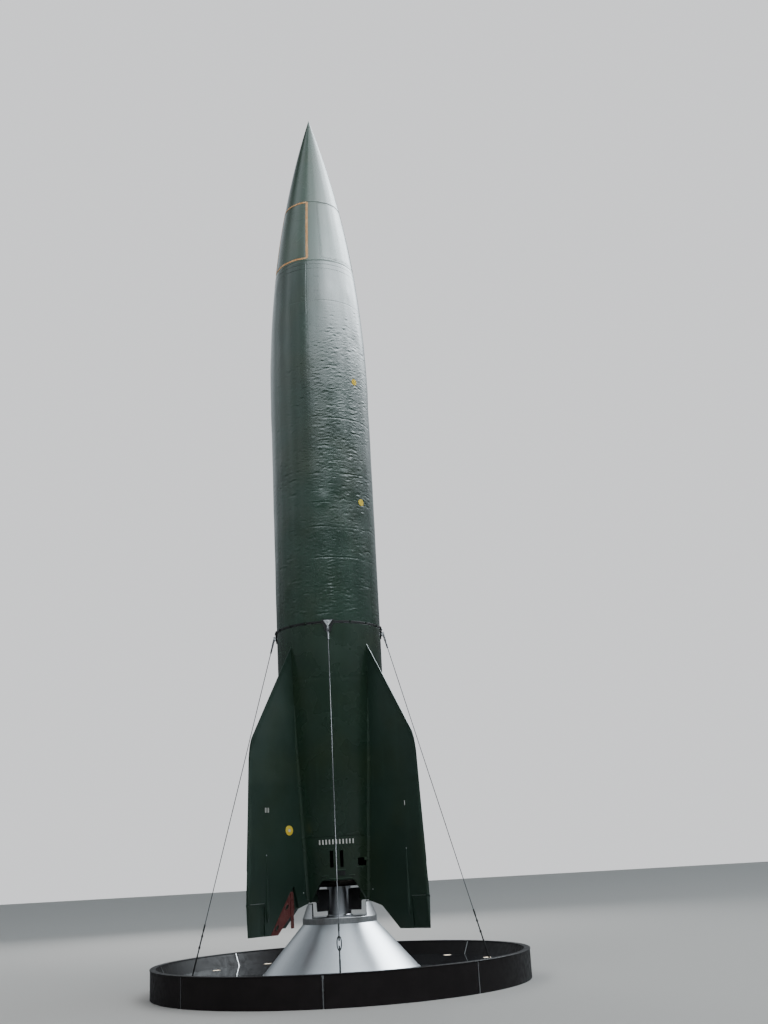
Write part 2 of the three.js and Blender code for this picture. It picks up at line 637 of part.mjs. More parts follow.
function addStand() {
  place('stand_cone', turned([
    [0, PLINTH.floor + SEAT],
    [CONE.footRadius, PLINTH.floor + SEAT],
    [CONE.topRadius, CONE.top],
    [0, CONE.top],
  ]), SILVER);

  const disc = turned([
    [0, CONE.top + SEAT],
    [COLLAR.radius, CONE.top + SEAT],
    [COLLAR.radius, COLLAR.top],
    [0, COLLAR.top],
  ]);
  const shell = turned([
    [COLLAR.radius, COLLAR.top - CROWN.sunk],
    [CROWN.topRadius, CROWN.top],
    [CROWN.topRadius - CROWN.wall, CROWN.top],
    [COLLAR.radius - CROWN.wall, COLLAR.top - CROWN.sunk],
  ]);
  const windowX = [-CROWN.window, CROWN.window];
  const window = box(windowX, [-2 * REACH, 2 * REACH], [COLLAR.top, CROWN.top + REACH]);
  place('stand_collar', cut(join(disc, shell), solidOf(window)), TRIM_LIGHT);

  const [low, high] = [BELL[2], BELL[3]].map(([radius, height]) => [radius - SEAT, FOOT + height]);
  place('stand_post', turned([
    [0, COLLAR.top + SEAT],
    [POST.radius, COLLAR.top + SEAT],
    [POST.radius, POST.neck],
    low,
    high,
    [0, high[1]],
  ], FACETS_SMALL), SILVER);
}

function addPlinth() {
  const plinth = spoke(PLINTH.turn);
  const { radius, floor, facets } = PLINTH;
  place('plinth_base', turned([[0, 0], [radius, 0], [radius, floor], [0, floor]], facets), CHARCOAL, plinth);

  const deckLow = floor + SEAT;
  const deckHigh = deckLow + DECK.thickness;
  place('deck', turned([
    [DECK.inner, deckLow],
    [DECK.outer, deckLow],
    [DECK.outer, deckHigh],
    [DECK.inner, deckHigh],
  ], facets), DECK_GLOSS, plinth);

  const rimSection = (outer, low, inset) => [
    [RIM.innerFoot + inset, floor + SEAT + inset],
    [RIM.innerTop + inset, RIM.top],
    [outer, RIM.top],
    [outer, low],
    [radius + SEAT + inset, low],
    [radius + SEAT + inset, floor + SEAT + inset],
  ];
  const rim = turned(rimSection(RIM.outer, 0, 0), facets);
  const step = 360 / PLINTH.panels;
  const jointAngle = THREE.MathUtils.radToDeg(RIM.jointHalf / RIM.outer);
  const panel = rim.intersect(wedge(step / 2 - jointAngle, 2 * radius, -REACH, REACH));
  for (let i = 0; i < PLINTH.panels; i++) {
    const group = spoke(PLINTH.turn + step * (i + 0.5));
    place(`rim_panel_${i + 1}`, panel, CHARCOAL, group);
  }

  const ring = turned([
    [TRIM.inner, RIM.top + SEAT],
    [TRIM.outer, RIM.top + SEAT],
    [TRIM.outer, PLINTH.height],
    [TRIM.inner, PLINTH.height],
  ], facets);
  const section = rimSection(RIM.outer - RIM_STRIP.inset, RIM_STRIP.low, RIM_STRIP.inset).map(([r, z]) =>
    [r, z === RIM.top ? RIM.top + RIM_STRIP.sunk : z]);
  const strip = upright(section, -RIM_STRIP.half, RIM_STRIP.half);
  const strips = Array.from({ length: PLINTH.panels }, (_, i) =>
    solidOf(strip.clone().rotateZ(THREE.MathUtils.degToRad(step * i))));
  place('rim_trim', join(ring, ...strips), TRIM_LIGHT, plinth);
}

addNose();
addInstrumentBay();
addTankShells();
addBelt();
addTailSection();
addSkirt();
addEngine();
addFins();
addStays();
addStand();
addPlinth();

export default rocket;
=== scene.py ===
# Looks of a tall finned rocket on its round display plinth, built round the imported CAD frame.
# Metres, +Z up. The photograph is taken from -Y. The fins lie on the diagonals: 1 is front right,
# then 2, 3 and 4 go anticlockwise seen from above. Angles are in degrees from +X.
import math

import bmesh
import bpy
import numpy as np
from mathutils import Matrix, Vector


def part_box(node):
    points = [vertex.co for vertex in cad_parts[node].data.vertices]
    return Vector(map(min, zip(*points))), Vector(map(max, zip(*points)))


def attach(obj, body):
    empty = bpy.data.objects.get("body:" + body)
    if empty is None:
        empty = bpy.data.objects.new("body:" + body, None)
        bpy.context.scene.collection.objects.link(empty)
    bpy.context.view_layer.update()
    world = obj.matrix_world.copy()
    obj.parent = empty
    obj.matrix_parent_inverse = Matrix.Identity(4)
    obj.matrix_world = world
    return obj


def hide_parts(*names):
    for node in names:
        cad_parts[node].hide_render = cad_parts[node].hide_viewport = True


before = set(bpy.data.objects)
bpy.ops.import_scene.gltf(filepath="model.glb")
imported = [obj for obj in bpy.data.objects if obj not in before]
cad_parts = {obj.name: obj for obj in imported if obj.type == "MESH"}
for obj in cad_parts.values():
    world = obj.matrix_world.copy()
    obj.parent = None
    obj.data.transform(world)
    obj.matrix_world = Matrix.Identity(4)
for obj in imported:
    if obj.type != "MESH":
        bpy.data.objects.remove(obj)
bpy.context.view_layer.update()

# Driving dimensions. Heights are over the floor. Plain heights of the tail, the engine and the fins are
# over the foot, the height of the fins' lower ends, as everything named over_foot is.
ROOT = "rocket_on_stand"
FIN_ANGLES = {1: -45, 2: 45, 3: 135, 4: 225}
SIDE_ANGLES = {1: -90, 2: 0, 3: 90, 4: 180}
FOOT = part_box("fin_1")[0].z
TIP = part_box("nose_tip")[1].z
BODY_RADIUS = 0.8255
OGIVE_LENGTH = 5.580
OGIVE_FOOT = TIP - OGIVE_LENGTH
OGIVE_RADIUS = (OGIVE_LENGTH ** 2 + BODY_RADIUS ** 2) / (2 * BODY_RADIUS)
TAPER_TOP = FOOT + 4.100
TAPER_RADIUS = 43.0
NOSE_TIP_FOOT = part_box("nose_tip")[0].z
NOSE_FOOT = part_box("nose_cone")[0].z
BAY_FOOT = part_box("instrument_bay")[0].z
BELT = (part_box("tank_shell_left")[0].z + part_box("tail_section")[1].z) / 2
SKIRT_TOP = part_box("tail_skirt")[1].z
SKIRT_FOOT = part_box("tail_skirt")[0].z
SEAM_GAP = 0.0015
# The gap between touching pieces, and the radius left open round an axis.
CLEAR = 0.0003
AXIS = 0.001


def body_radius(height):
    """The radius of the rocket's skin at a height or an array of heights."""
    height = np.asarray(height, dtype=float)
    rise = np.maximum(height - OGIVE_FOOT, 0)
    nose = np.sqrt(OGIVE_RADIUS ** 2 - rise ** 2) - (OGIVE_RADIUS - BODY_RADIUS)
    drop = np.maximum(TAPER_TOP - height, 0)
    return nose - drop ** 2 / (2 * TAPER_RADIUS)


def polar(radius, angle, height):
    """A point at a radius and an angle."""
    turn = math.radians(angle)
    return Vector((radius * math.cos(turn), radius * math.sin(turn), height))


def spoke(angle):
    """The matrix that turns a form built along +X to an angle."""
    return Matrix.Rotation(math.radians(angle), 4, "Z")


def ease(value, low, high):
    """A smooth step from 0 at low to 1 at high."""
    share = np.clip((value - low) / (high - low), 0, 1)
    return share * share * (3 - 2 * share)


def between(first, second, share):
    """A value on the way from the first to the second."""
    return first + (second - first) * share


def skin(height):
    """The radius of the rocket's skin at one height."""
    return float(body_radius(height))


def circle(count):
    """Equally spaced turns round a full circle, in radians."""
    return np.linspace(0, 2 * math.pi, count, endpoint=False)


def standing(outline):
    """An outline of (x, height over the foot) with its heights taken over the floor."""
    return [(x, FOOT + z) for x, z in outline]


def smoothed(values, rounds):
    """Values whose inner ones are averaged with their neighbours, a few rounds over."""
    for _ in range(rounds):
        values[1:-1] = (values[:-2] + 2 * values[1:-1] + values[2:]) / 4
    return values


# Mesh kit: a form is points and polygons, before it becomes a piece

class Form:
    """Points and groups of polygons. The polygons of one group have equally many corners."""

    def __init__(self, points, *groups):
        self.points = np.asarray(points, dtype=float).reshape(-1, 3)
        self.groups = [np.asarray(group, dtype=np.int32) for group in groups if len(group)]

    def placed(self, matrix):
        """The form moved by a matrix."""
        turn = np.array(matrix.to_3x3())
        return Form(self.points @ turn.T + np.array(matrix.translation), *self.groups)

    def mesh(self, name):
        """A Blender mesh with its faces turned outward."""
        corners = np.concatenate([group.ravel() for group in self.groups])
        sizes = np.concatenate([np.full(len(group), group.shape[1]) for group in self.groups])
        starts = np.concatenate(([0], np.cumsum(sizes)[:-1]))
        mesh = bpy.data.meshes.new(name)
        mesh.vertices.add(len(self.points))
        mesh.vertices.foreach_set("co", self.points.astype(np.float32).ravel())
        mesh.loops.add(len(corners))
        mesh.loops.foreach_set("vertex_index", corners.astype(np.int32))
        mesh.polygons.add(len(sizes))
        mesh.polygons.foreach_set("loop_start", starts.astype(np.int32))
        mesh.update(calc_edges=True)
        work = bmesh.new()
        work.from_mesh(mesh)
        bmesh.ops.recalc_face_normals(work, faces=work.faces)
        work.to_mesh(mesh)
        work.free()
        return mesh


def merged(*forms):
    """Several forms as one."""
    points = []
    groups = []
    offset = 0
    for form in forms:
        points.append(form.points)
        groups.extend(group + offset for group in form.groups)
        offset += len(form.points)
    return Form(np.concatenate(points), *groups)


def around(form, angles):
    """Copies of a form turned to each angle, as one form."""
    return merged(*(form.placed(spoke(angle)) for angle in angles))


def loft(rings, closed=False):
    """Rings of equally many points joined in a row. The row's ends are capped, or meet when closed."""
    rings = np.asarray(rings, dtype=float)
    rows, columns = rings.shape[:2]
    index = np.arange(rows * columns).reshape(rows, columns)
    if closed:
        index = np.vstack((index, index[:1]))
    ahead = np.roll(index, -1, axis=1)
    quads = np.stack((index[:-1], ahead[:-1], ahead[1:], index[1:]), axis=-1).reshape(-1, 4)
    if closed:
        return Form(rings, quads)
    return Form(rings, quads, [index[0][::-1]], [index[-1]])


def lathe(profile, facets, closed=False):
    """A profile of (radius, height) turned about the axis, capped at its ends or closed on itself."""
    turns = np.radians(np.linspace(0, 360, facets, endpoint=False))
    radius, height = np.asarray(profile, dtype=float).T
    rings = np.stack((
        radius[:, None] * np.cos(turns),
        radius[:, None] * np.sin(turns),
        np.repeat(height[:, None], facets, axis=1),
    ), axis=-1)
    return loft(rings, closed)


def prism(outline, near, far):
    """An outline of (x, z) made solid from the depth near to the depth far along +Y."""
    return loft([[(x, depth, z) for x, z in outline] for depth in (near, far)])


def facing(outline, near, far):
    """An outline of (y, z) made solid from near to far along +X."""
    return loft([[(depth, y, z) for y, z in outline] for depth in (near, far)])


def frame_along(direction):
    """Two unit vectors across a direction."""
    direction = Vector(direction).normalized()
    guide = Vector((0, 0, 1)) if abs(direction.z) < 0.9 else Vector((1, 0, 0))
    side = direction.cross(guide).normalized()
    return side, side.cross(direction).normalized()


def ring_round(centre, radius, side, up, sides):
    """Points round a centre, in the plane of two unit vectors."""
    return [centre + radius * (math.cos(turn) * side + math.sin(turn) * up) for turn in circle(sides)]


def rod(start, end, radius, sides=16, chamfer=0.0015):
    """A round bar with chamfered ends."""
    start = Vector(start)
    end = Vector(end)
    length = (end - start).length
    side, up = frame_along(end - start)
    slim = radius - chamfer
    rings = []
    for along, width in ((0, slim), (chamfer, radius), (length - chamfer, radius), (length, slim)):
        rings.append(ring_round(start.lerp(end, along / length), width, side, up, sides))
    return loft(rings)


def tube(path, radius, sides=8):
    """A round tube along a path of points."""
    path = [Vector(point) for point in path]
    rings = []
    side, up = frame_along(path[1] - path[0])
    for i, point in enumerate(path):
        ahead = (path[min(i + 1, len(path) - 1)] - path[max(i - 1, 0)]).normalized()
        side = (side - side.dot(ahead) * ahead).normalized()
        up = ahead.cross(side)
        rings.append(ring_round(point, radius, side, up, sides))
    return loft(rings)


def block(low, high, chamfer=0.002):
    """A box with chamfered edges."""
    low = np.array(low, dtype=float)
    high = np.array(high, dtype=float)
    rings = []
    for z, inset in ((low[2], chamfer), (low[2] + chamfer, 0), (high[2] - chamfer, 0), (high[2], chamfer)):
        x0, y0 = low[:2] + inset
        x1, y1 = high[:2] - inset
        c = chamfer
        rings.append([
            (x0 + c, y0, z), (x1 - c, y0, z), (x1, y0 + c, z), (x1, y1 - c, z),
            (x1 - c, y1, z), (x0 + c, y1, z), (x0, y1 - c, z), (x0, y0 + c, z),
        ])
    return loft(rings)


def face_block(face, low, high, chamfer):
    """A box on one face of a sheet in the XZ plane. Its depths are counted from the sheet's middle."""
    near, far = sorted((face * low[1], face * high[1]))
    return block((low[0], near, low[2]), (high[0], far, high[2]), chamfer)


def bolt(place, direction, across, height, sides=6):
    """A bolt's head on a washer, standing at a place along a direction."""
    place = Vector(place)
    direction = Vector(direction).normalized()
    washer = rod(place, place + direction * height * 0.3, across * 0.8, 16, height * 0.08)
    head = rod(place, place + direction * height, across * 0.5, sides, height * 0.12)
    return merged(washer, head)


def carved(form, *cutters):
    """A form with others cut out of it."""
    target = bpy.data.objects.new("carve_target", form.mesh("carve_target"))
    bpy.context.collection.objects.link(target)
    spent = [target]
    for cutter in cutters:
        tool = bpy.data.objects.new("carve_tool", cutter.mesh("carve_tool"))
        bpy.context.collection.objects.link(tool)
        spent.append(tool)
        cut = target.modifiers.new("cut", "BOOLEAN")
        cut.operation = "DIFFERENCE"
        cut.solver = "MANIFOLD"
        cut.object = tool
    bpy.context.view_layer.update()
    result = target.evaluated_get(bpy.context.evaluated_depsgraph_get()).to_mesh()
    points = np.empty(len(result.vertices) * 3)
    result.vertices.foreach_get("co", points)
    by_size = {}
    for polygon in result.polygons:
        by_size.setdefault(polygon.loop_total, []).append(list(polygon.vertices))
    for thing in spent:
        data = thing.data
        bpy.data.objects.remove(thing)
        bpy.data.meshes.remove(data)
    return Form(points.reshape(-1, 3), *by_size.values())


CREASE = 32


def piece(name, form, finish, body=ROOT, stands_for=(), crease=CREASE):
    """A form as a named piece with a finish, riding on a body and standing for CAD nodes."""
    mesh = form.mesh(name)
    mesh.shade_smooth()
    mesh.set_sharp_from_angle(angle=math.radians(crease))
    made = bpy.data.objects.new(name, mesh)
    bpy.context.collection.objects.link(made)
    material, slot = finish
    mesh.materials.append(material)
    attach(made, body)
    if stands_for:
        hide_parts(*([stands_for] if isinstance(stands_for, str) else stands_for))
    return made


# Finishes

class Nodes:
    """Short calls that add nodes to a tree and link them."""

    def __init__(self, tree):
        self.tree = tree
        tree.nodes.clear()

    def node(self, kind, inputs=(), **settings):
        """A node with its settings, and inputs that are sockets or plain values."""
        made = self.tree.nodes.new(kind)
        for key, value in settings.items():
            setattr(made, key, value)
        for key, value in dict(inputs).items():
            if isinstance(value, bpy.types.NodeSocket):
                self.tree.links.new(value, made.inputs[key])
            else:
                made.inputs[key].default_value = value
        return made

    def maths(self, operation, first, second):
        """The result of a mathematical operation on two values."""
        return self.node("ShaderNodeMath", {0: first, 1: second}, operation=operation).outputs["Value"]

    def spread(self, value, low, high, to_low=0.0, to_high=1.0):
        """A value mapped smoothly from one range to another, and held at its ends."""
        inputs = {"Value": value, "From Min": low, "From Max": high, "To Min": to_low, "To Max": to_high}
        return self.node("ShaderNodeMapRange", inputs, interpolation_type="SMOOTHSTEP").outputs["Result"]


class Look(Nodes):
    """A node material under construction, in object coordinates, which are metres in the row's frame."""

    def __init__(self, name, roughness=0.4, metallic=0.0, **constants):
        self.material = bpy.data.materials.new(name)
        self.material.use_nodes = True
        super().__init__(self.material.node_tree)
        self.shader = self.tree.nodes.new("ShaderNodeBsdfPrincipled")
        output = self.tree.nodes.new("ShaderNodeOutputMaterial")
        self.tree.links.new(self.shader.outputs["BSDF"], output.inputs["Surface"])
        self.place = self.tree.nodes.new("ShaderNodeTexCoord").outputs["Object"]
        self.shader.inputs["Roughness"].default_value = roughness
        self.shader.inputs["Metallic"].default_value = metallic
        for socket, value in constants.items():
            self.shader.inputs[socket.replace("_", " ")].default_value = value

    def noise(self, scale, detail=3.0, roughness=0.5, stretch=(1, 1, 1), shift=(0, 0, 0), distortion=0.0):
        """Noise from 0 to 1. stretch is how finely it varies along each axis."""
        mapped = self.node("ShaderNodeMapping", {"Vector": self.place, "Scale": stretch, "Location": shift})
        inputs = {
            "Vector": mapped.outputs["Vector"],
            "Scale": scale,
            "Detail": detail,
            "Roughness": roughness,
            "Distortion": distortion,
        }
        return self.node("ShaderNodeTexNoise", inputs).outputs["Fac"]

    def mix(self, share, first, second):
        """One colour going over into another."""
        made = self.node("ShaderNodeMix", {"Factor": share}, data_type="RGBA", clamp_factor=True)
        for key, value in (("A", first), ("B", second)):
            socket = next(s for s in made.inputs if s.name == key and s.type == "RGBA")
            if isinstance(value, bpy.types.NodeSocket):
                self.tree.links.new(value, socket)
            else:
                socket.default_value = (*value, 1)
        return next(s for s in made.outputs if s.type == "RGBA")

    def height(self):
        """The height over the floor."""
        return self.node("ShaderNodeSeparateXYZ", {"Vector": self.place}).outputs["Z"]

    def colour(self, socket):
        """Makes a socket the base colour."""
        self.tree.links.new(socket, self.shader.inputs["Base Color"])

    def rough(self, socket):
        """Makes a socket the roughness."""
        self.tree.links.new(socket, self.shader.inputs["Roughness"])

    def bump(self, height, strength, distance):
        """Relief from a height. Later calls add to earlier ones."""
        made = self.node("ShaderNodeBump", {"Height": height, "Strength": strength, "Distance": distance})
        link = next((l for l in self.tree.links if l.to_socket == self.shader.inputs["Normal"]), None)
        if link:
            self.tree.links.new(link.from_socket, made.inputs["Normal"])
        self.tree.links.new(made.outputs["Normal"], self.shader.inputs["Normal"])


def green_paint(name, dark, pale, olive, worn, streaks, roughness):
    """Semi-gloss green paint with blotches, run marks and small light scuffs."""
    look = Look(name, Specular_IOR_Level=0.5, Coat_Weight=0.25, Coat_Roughness=0.12)
    broad = look.spread(look.noise(0.9, 2, 0.5), 0.30, 0.70)
    colour = look.mix(broad, dark, pale)
    blotch = look.spread(look.noise(1.7, 2, 0.45, shift=(3, 1, 7)), 0.36, 0.84, 0, 0.7)
    colour = look.mix(blotch, colour, olive)
    runs = look.spread(look.noise(9, 5, 0.6, stretch=(1, 1, 0.06)), 0.55, 0.8, 0, streaks)
    colour = look.mix(runs, colour, tuple(1.5 * tone for tone in pale))
    scuffs = look.spread(look.noise(52, 4, 0.6), 0.68, 0.76, 0, worn)
    colour = look.mix(scuffs, colour, (0.15, 0.17, 0.14))
    look.colour(colour)
    gloss = look.spread(look.noise(3.2, 2, 0.45), 0.2, 0.8, roughness - 0.03, roughness + 0.05)
    look.rough(look.maths("ADD", gloss, look.maths("MULTIPLY", scuffs, 0.08)))
    look.bump(look.noise(120, 2, 0.5), 0.08, 0.0005)
    look.bump(look.noise(14, 2, 0.4, stretch=(1, 1, 1.8)), 0.06, 0.003)
    return look


TANK_GREENS = ((0.019, 0.044, 0.031), (0.029, 0.063, 0.045), (0.031, 0.050, 0.028))


def tank_paint():
    """The paint of the tank section, with fine hammered relief between its larger folds."""
    look = green_paint("tank_paint", *TANK_GREENS, 0.3, 0.3, 0.19)
    below = look.spread(look.height(), BAY_FOOT - 0.9, BAY_FOOT - 1.6)
    ripple = look.noise(20, 4, 0.6, stretch=(1, 1, 2.0), distortion=0.5)
    look.bump(look.maths("MULTIPLY", ripple, below), 0.30, 0.006)
    return look.material


def tape():
    """Aged tan sealing strip."""
    look = Look("seal_strip")
    colour = look.mix(look.spread(look.noise(9, 4), 0.35, 0.7), (0.80, 0.42, 0.18), (0.95, 0.58, 0.30))
    grime = look.spread(look.noise(30, 5, 0.65), 0.58, 0.78, 0, 0.6)
    look.colour(look.mix(grime, colour, (0.42, 0.24, 0.13)))
    look.rough(look.spread(look.noise(40), 0.3, 0.7, 0.5, 0.75))
    look.bump(look.noise(60, 4, 0.6), 0.5, 0.003)
    return look.material


def primer():
    """Dull red-oxide primer, scratched and chalky, its reds darkened to paint in the shade over the open
    bay's rib.
    """
    look = Look("primer", Specular_IOR_Level=0.3)
    # Both reds are far darker than red-oxide primer's own, to paint in the shade over the rib.
    colour = look.mix(look.spread(look.noise(7, 4), 0.35, 0.7), (0.095, 0.027, 0.025), (0.14, 0.043, 0.040))
    chalk = look.spread(look.noise(40, 6, 0.7, stretch=(1, 1, 0.4)), 0.5, 0.72, 0, 0.5)
    look.colour(look.mix(chalk, colour, (0.20, 0.10, 0.09)))
    look.rough(look.spread(look.noise(22), 0.3, 0.7, 0.55, 0.8))
    look.bump(look.noise(75, 4, 0.6), 0.3, 0.0015)
    return look.material


STAIN = (0.3, 0.27, 0.23)


def metal(name, dark, pale, grain, stretch, roughness, relief, stain=STAIN, stained=0.25, play=0.045):
    """Bare metal with a drawn grain and dull stains."""
    look = Look(name, metallic=1.0)
    fine = look.noise(grain, 3, 0.55, stretch=stretch)
    colour = look.mix(look.spread(fine, 0.3, 0.7), dark, pale)
    spots = look.spread(look.noise(3, 4, 0.55), 0.5, 0.76, 0, stained)
    look.colour(look.mix(spots, colour, stain))
    base = look.spread(fine, 0.25, 0.75, roughness - play, roughness + play)
    look.rough(look.maths("ADD", base, look.maths("MULTIPLY", spots, 0.2)))
    look.bump(fine, relief, 0.0005)
    return look.material


def dull(name, dark, pale, roughness, grain=60, relief=0.25, scuffed=0.4, sheen=0.3):
    """A plain dull surface, mottled and slightly grained."""
    look = Look(name, Specular_IOR_Level=sheen)
    colour = look.mix(look.spread(look.noise(4, 5, 0.6), 0.35, 0.68), dark, pale)
    scuffs = look.spread(look.noise(28, 6, 0.7, stretch=(1, 1, 0.5)), 0.6, 0.75, 0, scuffed)
    look.colour(look.mix(scuffs, colour, tuple(min(1, 2.2 * tone + 0.02) for tone in pale)))
    look.rough(look.spread(look.noise(14, 4), 0.3, 0.7, roughness - 0.08, roughness + 0.1))
    look.bump(look.noise(grain, 4, 0.55), relief, 0.001)
    return look.material


def scorched():
    """The engine's steel, heat-tinted towards the bell's lip."""
    look = Look("scorched_steel", metallic=0.85)
    lip = look.spread(look.height(), FOOT + 1.05, FOOT + 0.6)
    ragged = look.maths("ADD", lip, look.maths("MULTIPLY", look.noise(5, 5, 0.6), 0.5))
    ragged = look.spread(ragged, 0.3, 1.1)
    colour = look.mix(ragged, (0.06, 0.06, 0.06), (0.040, 0.034, 0.030))
    soot = look.spread(look.noise(11, 6, 0.65), 0.5, 0.7, 0, 0.8)
    look.colour(look.mix(soot, colour, (0.018, 0.017, 0.017)))
    look.rough(look.spread(look.noise(18, 4), 0.3, 0.7, 0.42, 0.66))
    look.bump(look.noise(90, 4, 0.6), 0.3, 0.001)
    return look.material


def polished_floor():
    """The plinth's dark polished sheet, with dust."""
    look = Look("polished_floor", Specular_IOR_Level=0.3)
    cloudy = look.spread(look.noise(1.5, 4), 0.35, 0.65)
    colour = look.mix(cloudy, (0.018, 0.019, 0.022), (0.028, 0.030, 0.034))
    dust = look.spread(look.noise(18, 7, 0.7), 0.6, 0.85, 0, 0.3)
    look.colour(look.mix(dust, colour, (0.05, 0.05, 0.049)))
    gloss = look.spread(look.noise(7, 5), 0.3, 0.7, 0.05, 0.09)
    look.rough(look.maths("ADD", gloss, look.maths("MULTIPLY", dust, 0.15)))
    look.bump(look.noise(2.0, 2), 0.08, 0.006)
    return look.material


def lamp_glass():
    """A frosted lamp lens, lit warmly from below."""
    look = Look("lamp_glass", roughness=0.3, Emission_Strength=2.2)
    glow = look.spread(look.noise(60, 2), 0.3, 0.7)
    warm = look.mix(glow, (1.0, 0.80, 0.55), (1.0, 0.90, 0.74))
    look.colour(warm)
    look.tree.links.new(warm, look.shader.inputs["Emission Color"])
    look.rough(look.spread(look.noise(90), 0.3, 0.7, 0.22, 0.4))
    return look.material


GREY = (0.5, 0.5, 0.5)
DRAWN = (1, 1, 0.03)
NOSE_GREENS = ((0.040, 0.080, 0.056), (0.054, 0.098, 0.072), (0.060, 0.084, 0.050))
# The tail's and fins' greens are darker than the tank's, painting in the shade that falls low on the rocket.
SHADED_TAIL_GREENS = ((0.013, 0.032, 0.020), (0.020, 0.044, 0.028), (0.024, 0.040, 0.017))
SHADED_FIN_GREENS = ((0.012, 0.030, 0.021), (0.018, 0.041, 0.029), (0.020, 0.036, 0.018))
BLACKS = ((0.012, 0.013, 0.013), (0.022, 0.023, 0.023))
GRAPHITES = ((0.014, 0.014, 0.015), (0.030, 0.030, 0.031))
RECESS_TONES = ((0.006, 0.007, 0.007), (0.012, 0.013, 0.012))
STAY_TONES = ((0.10, 0.10, 0.105), (0.16, 0.16, 0.165))
CONE_TONES = ((0.485, 0.495, 0.515), (0.505, 0.515, 0.535))
TRIM_TONES = ((0.40, 0.40, 0.41), (0.50, 0.50, 0.50))
CHARCOALS = ((0.017, 0.0145, 0.015), (0.021, 0.0180, 0.0185))
WHITES = ((0.72, 0.73, 0.70), (0.88, 0.89, 0.86))
YELLOWS = ((0.90, 0.62, 0.05), (1.0, 0.78, 0.10))

# Each finish is a material and its slot in the record.
NOSE_PAINT = (green_paint("nose_paint", *NOSE_GREENS, 0.15, 0.35, 0.24).material, "green_paint")
TANK_PAINT = (tank_paint(), "green_paint")
SHADED_TAIL_PAINT = (green_paint("shaded_tail_paint", *SHADED_TAIL_GREENS, 0.35, 0.40, 0.26).material, "green_paint")
SHADED_FIN_PAINT = (green_paint("shaded_fin_paint", *SHADED_FIN_GREENS, 0.35, 0.35, 0.36).material, "green_paint")
SEAL = (tape(), "door_seal")
SHADED_PRIMER = (primer(), "red_primer")
BLACK = (dull("black_band", *BLACKS, 0.42), "black_band")
GRAPHITE = (dull("graphite", *GRAPHITES, 0.58, 90, 0.5), "graphite")
# Near-black: under door 1 and inside the crown it paints in shade.
RECESS = (dull("dark_recess", *RECESS_TONES, 0.7), "dark_recess")
ENGINE_STEEL = (scorched(), "engine_steel")
STAY_STEEL = (metal("stay_steel", *STAY_TONES, 60, (1, 1, 1), 0.50, 0.2), "stay_steel")
CONE_STEEL = (metal("cone_steel", *CONE_TONES, 24, DRAWN, 0.35, 0.01, GREY, 0.0, 0.006), "brushed_cone")
TRIM_METAL = (metal("trim_metal", *TRIM_TONES, 90, (1, 1, 0.2), 0.38, 0.1, GREY, 0.1), "light_trim")
CHARCOAL = (dull("charcoal_panel", *CHARCOALS, 0.36, 140, 0.05, 0.05, 0.12), "charcoal_panel")
FLOOR_SHEET = (polished_floor(), "gloss_floor")
LAMP = (lamp_glass(), "lamp_glass")
WHITE_MARK = (dull("white_mark", *WHITES, 0.5), "marking_white")
YELLOW_MARK = (dull("yellow_mark", *YELLOWS, 0.45), "marking_yellow")


# The rocket's skin: rows of points round the body, moved in or out by a relief in metres

def skin_form(heights, angles, relief):
    """A closed skin over the given heights and angles. The angles run all the way round, or half way."""
    turn, height = np.meshgrid(np.radians(angles), heights)
    radius = body_radius(height) + relief(np.degrees(turn), height)
    return loft(np.stack((radius * np.cos(turn), radius * np.sin(turn), height), axis=-1))


def with_steps(low, high, count, steps=(), width=0.0006):
    """Evenly spaced values with a close pair at each step."""
    values = np.linspace(low, high, count)
    pairs = [step + side * width for step in steps for side in (-1, 1) if low < step < high]
    return np.unique(np.concatenate((values, pairs)))


def groove(value, centre, half, depth):
    """A narrow channel across a value."""
    return -depth * np.exp(-((value - centre) / half) ** 2)


def rolled_ends(height, low, high, reach=0.006, depth=0.0035):
    """Rounds a skin's two ends off."""
    edge = np.minimum(height - low, high - height)
    return -depth * np.clip(1 - edge / reach, 0, 1) ** 2


def wavy(seed, count, low, high, depth, size):
    """A gentle unevenness made of broad seeded bulges and hollows."""
    rng = np.random.default_rng(seed)
    angles = rng.uniform(-180, 180, count)
    heights = rng.uniform(low, high, count)
    depths = rng.normal(0, depth, count)
    sizes = rng.uniform(0.6, 1.4, count) * size

    def relief(angle, height):
        total = np.zeros_like(height)
        for a, z, d, s in zip(angles, heights, depths, sizes):
            across = np.radians((angle - a + 180) % 360 - 180) * BODY_RADIUS
            total += d * np.exp(-(across / s) ** 2 - ((height - z) / (1.6 * s)) ** 2)
        return total

    return relief


NOSE_FACETS = 144


def add_nose():
    tip_rows = NOSE_TIP_FOOT + (TIP - NOSE_TIP_FOOT) * np.sin(np.linspace(0, math.pi / 2, 22))
    tip = [(max(skin(z), 0.0002), z) for z in tip_rows]
    tip[0] = (tip[0][0] - 0.0012, tip[0][1])
    piece("nose_tip_skin", lathe(tip, 64), NOSE_PAINT, stands_for="nose_tip")

    heights = with_steps(NOSE_FOOT, NOSE_TIP_FOOT, 90, (NOSE_FOOT + 0.004, NOSE_TIP_FOOT - 0.004))
    uneven = wavy(11, 26, NOSE_FOOT, NOSE_TIP_FOOT, 0.0008, 0.16)

    def relief(angle, height):
        fade = ease(height, NOSE_TIP_FOOT, NOSE_TIP_FOOT - 0.5)
        return uneven(angle, height) * fade + rolled_ends(height, NOSE_FOOT, NOSE_TIP_FOOT)

    angles = np.linspace(-180, 180, NOSE_FACETS, endpoint=False)
    piece("nose_skin", skin_form(heights, angles, relief), NOSE_PAINT, stands_for="nose_cone")


# Instrument bay with four sealed doors

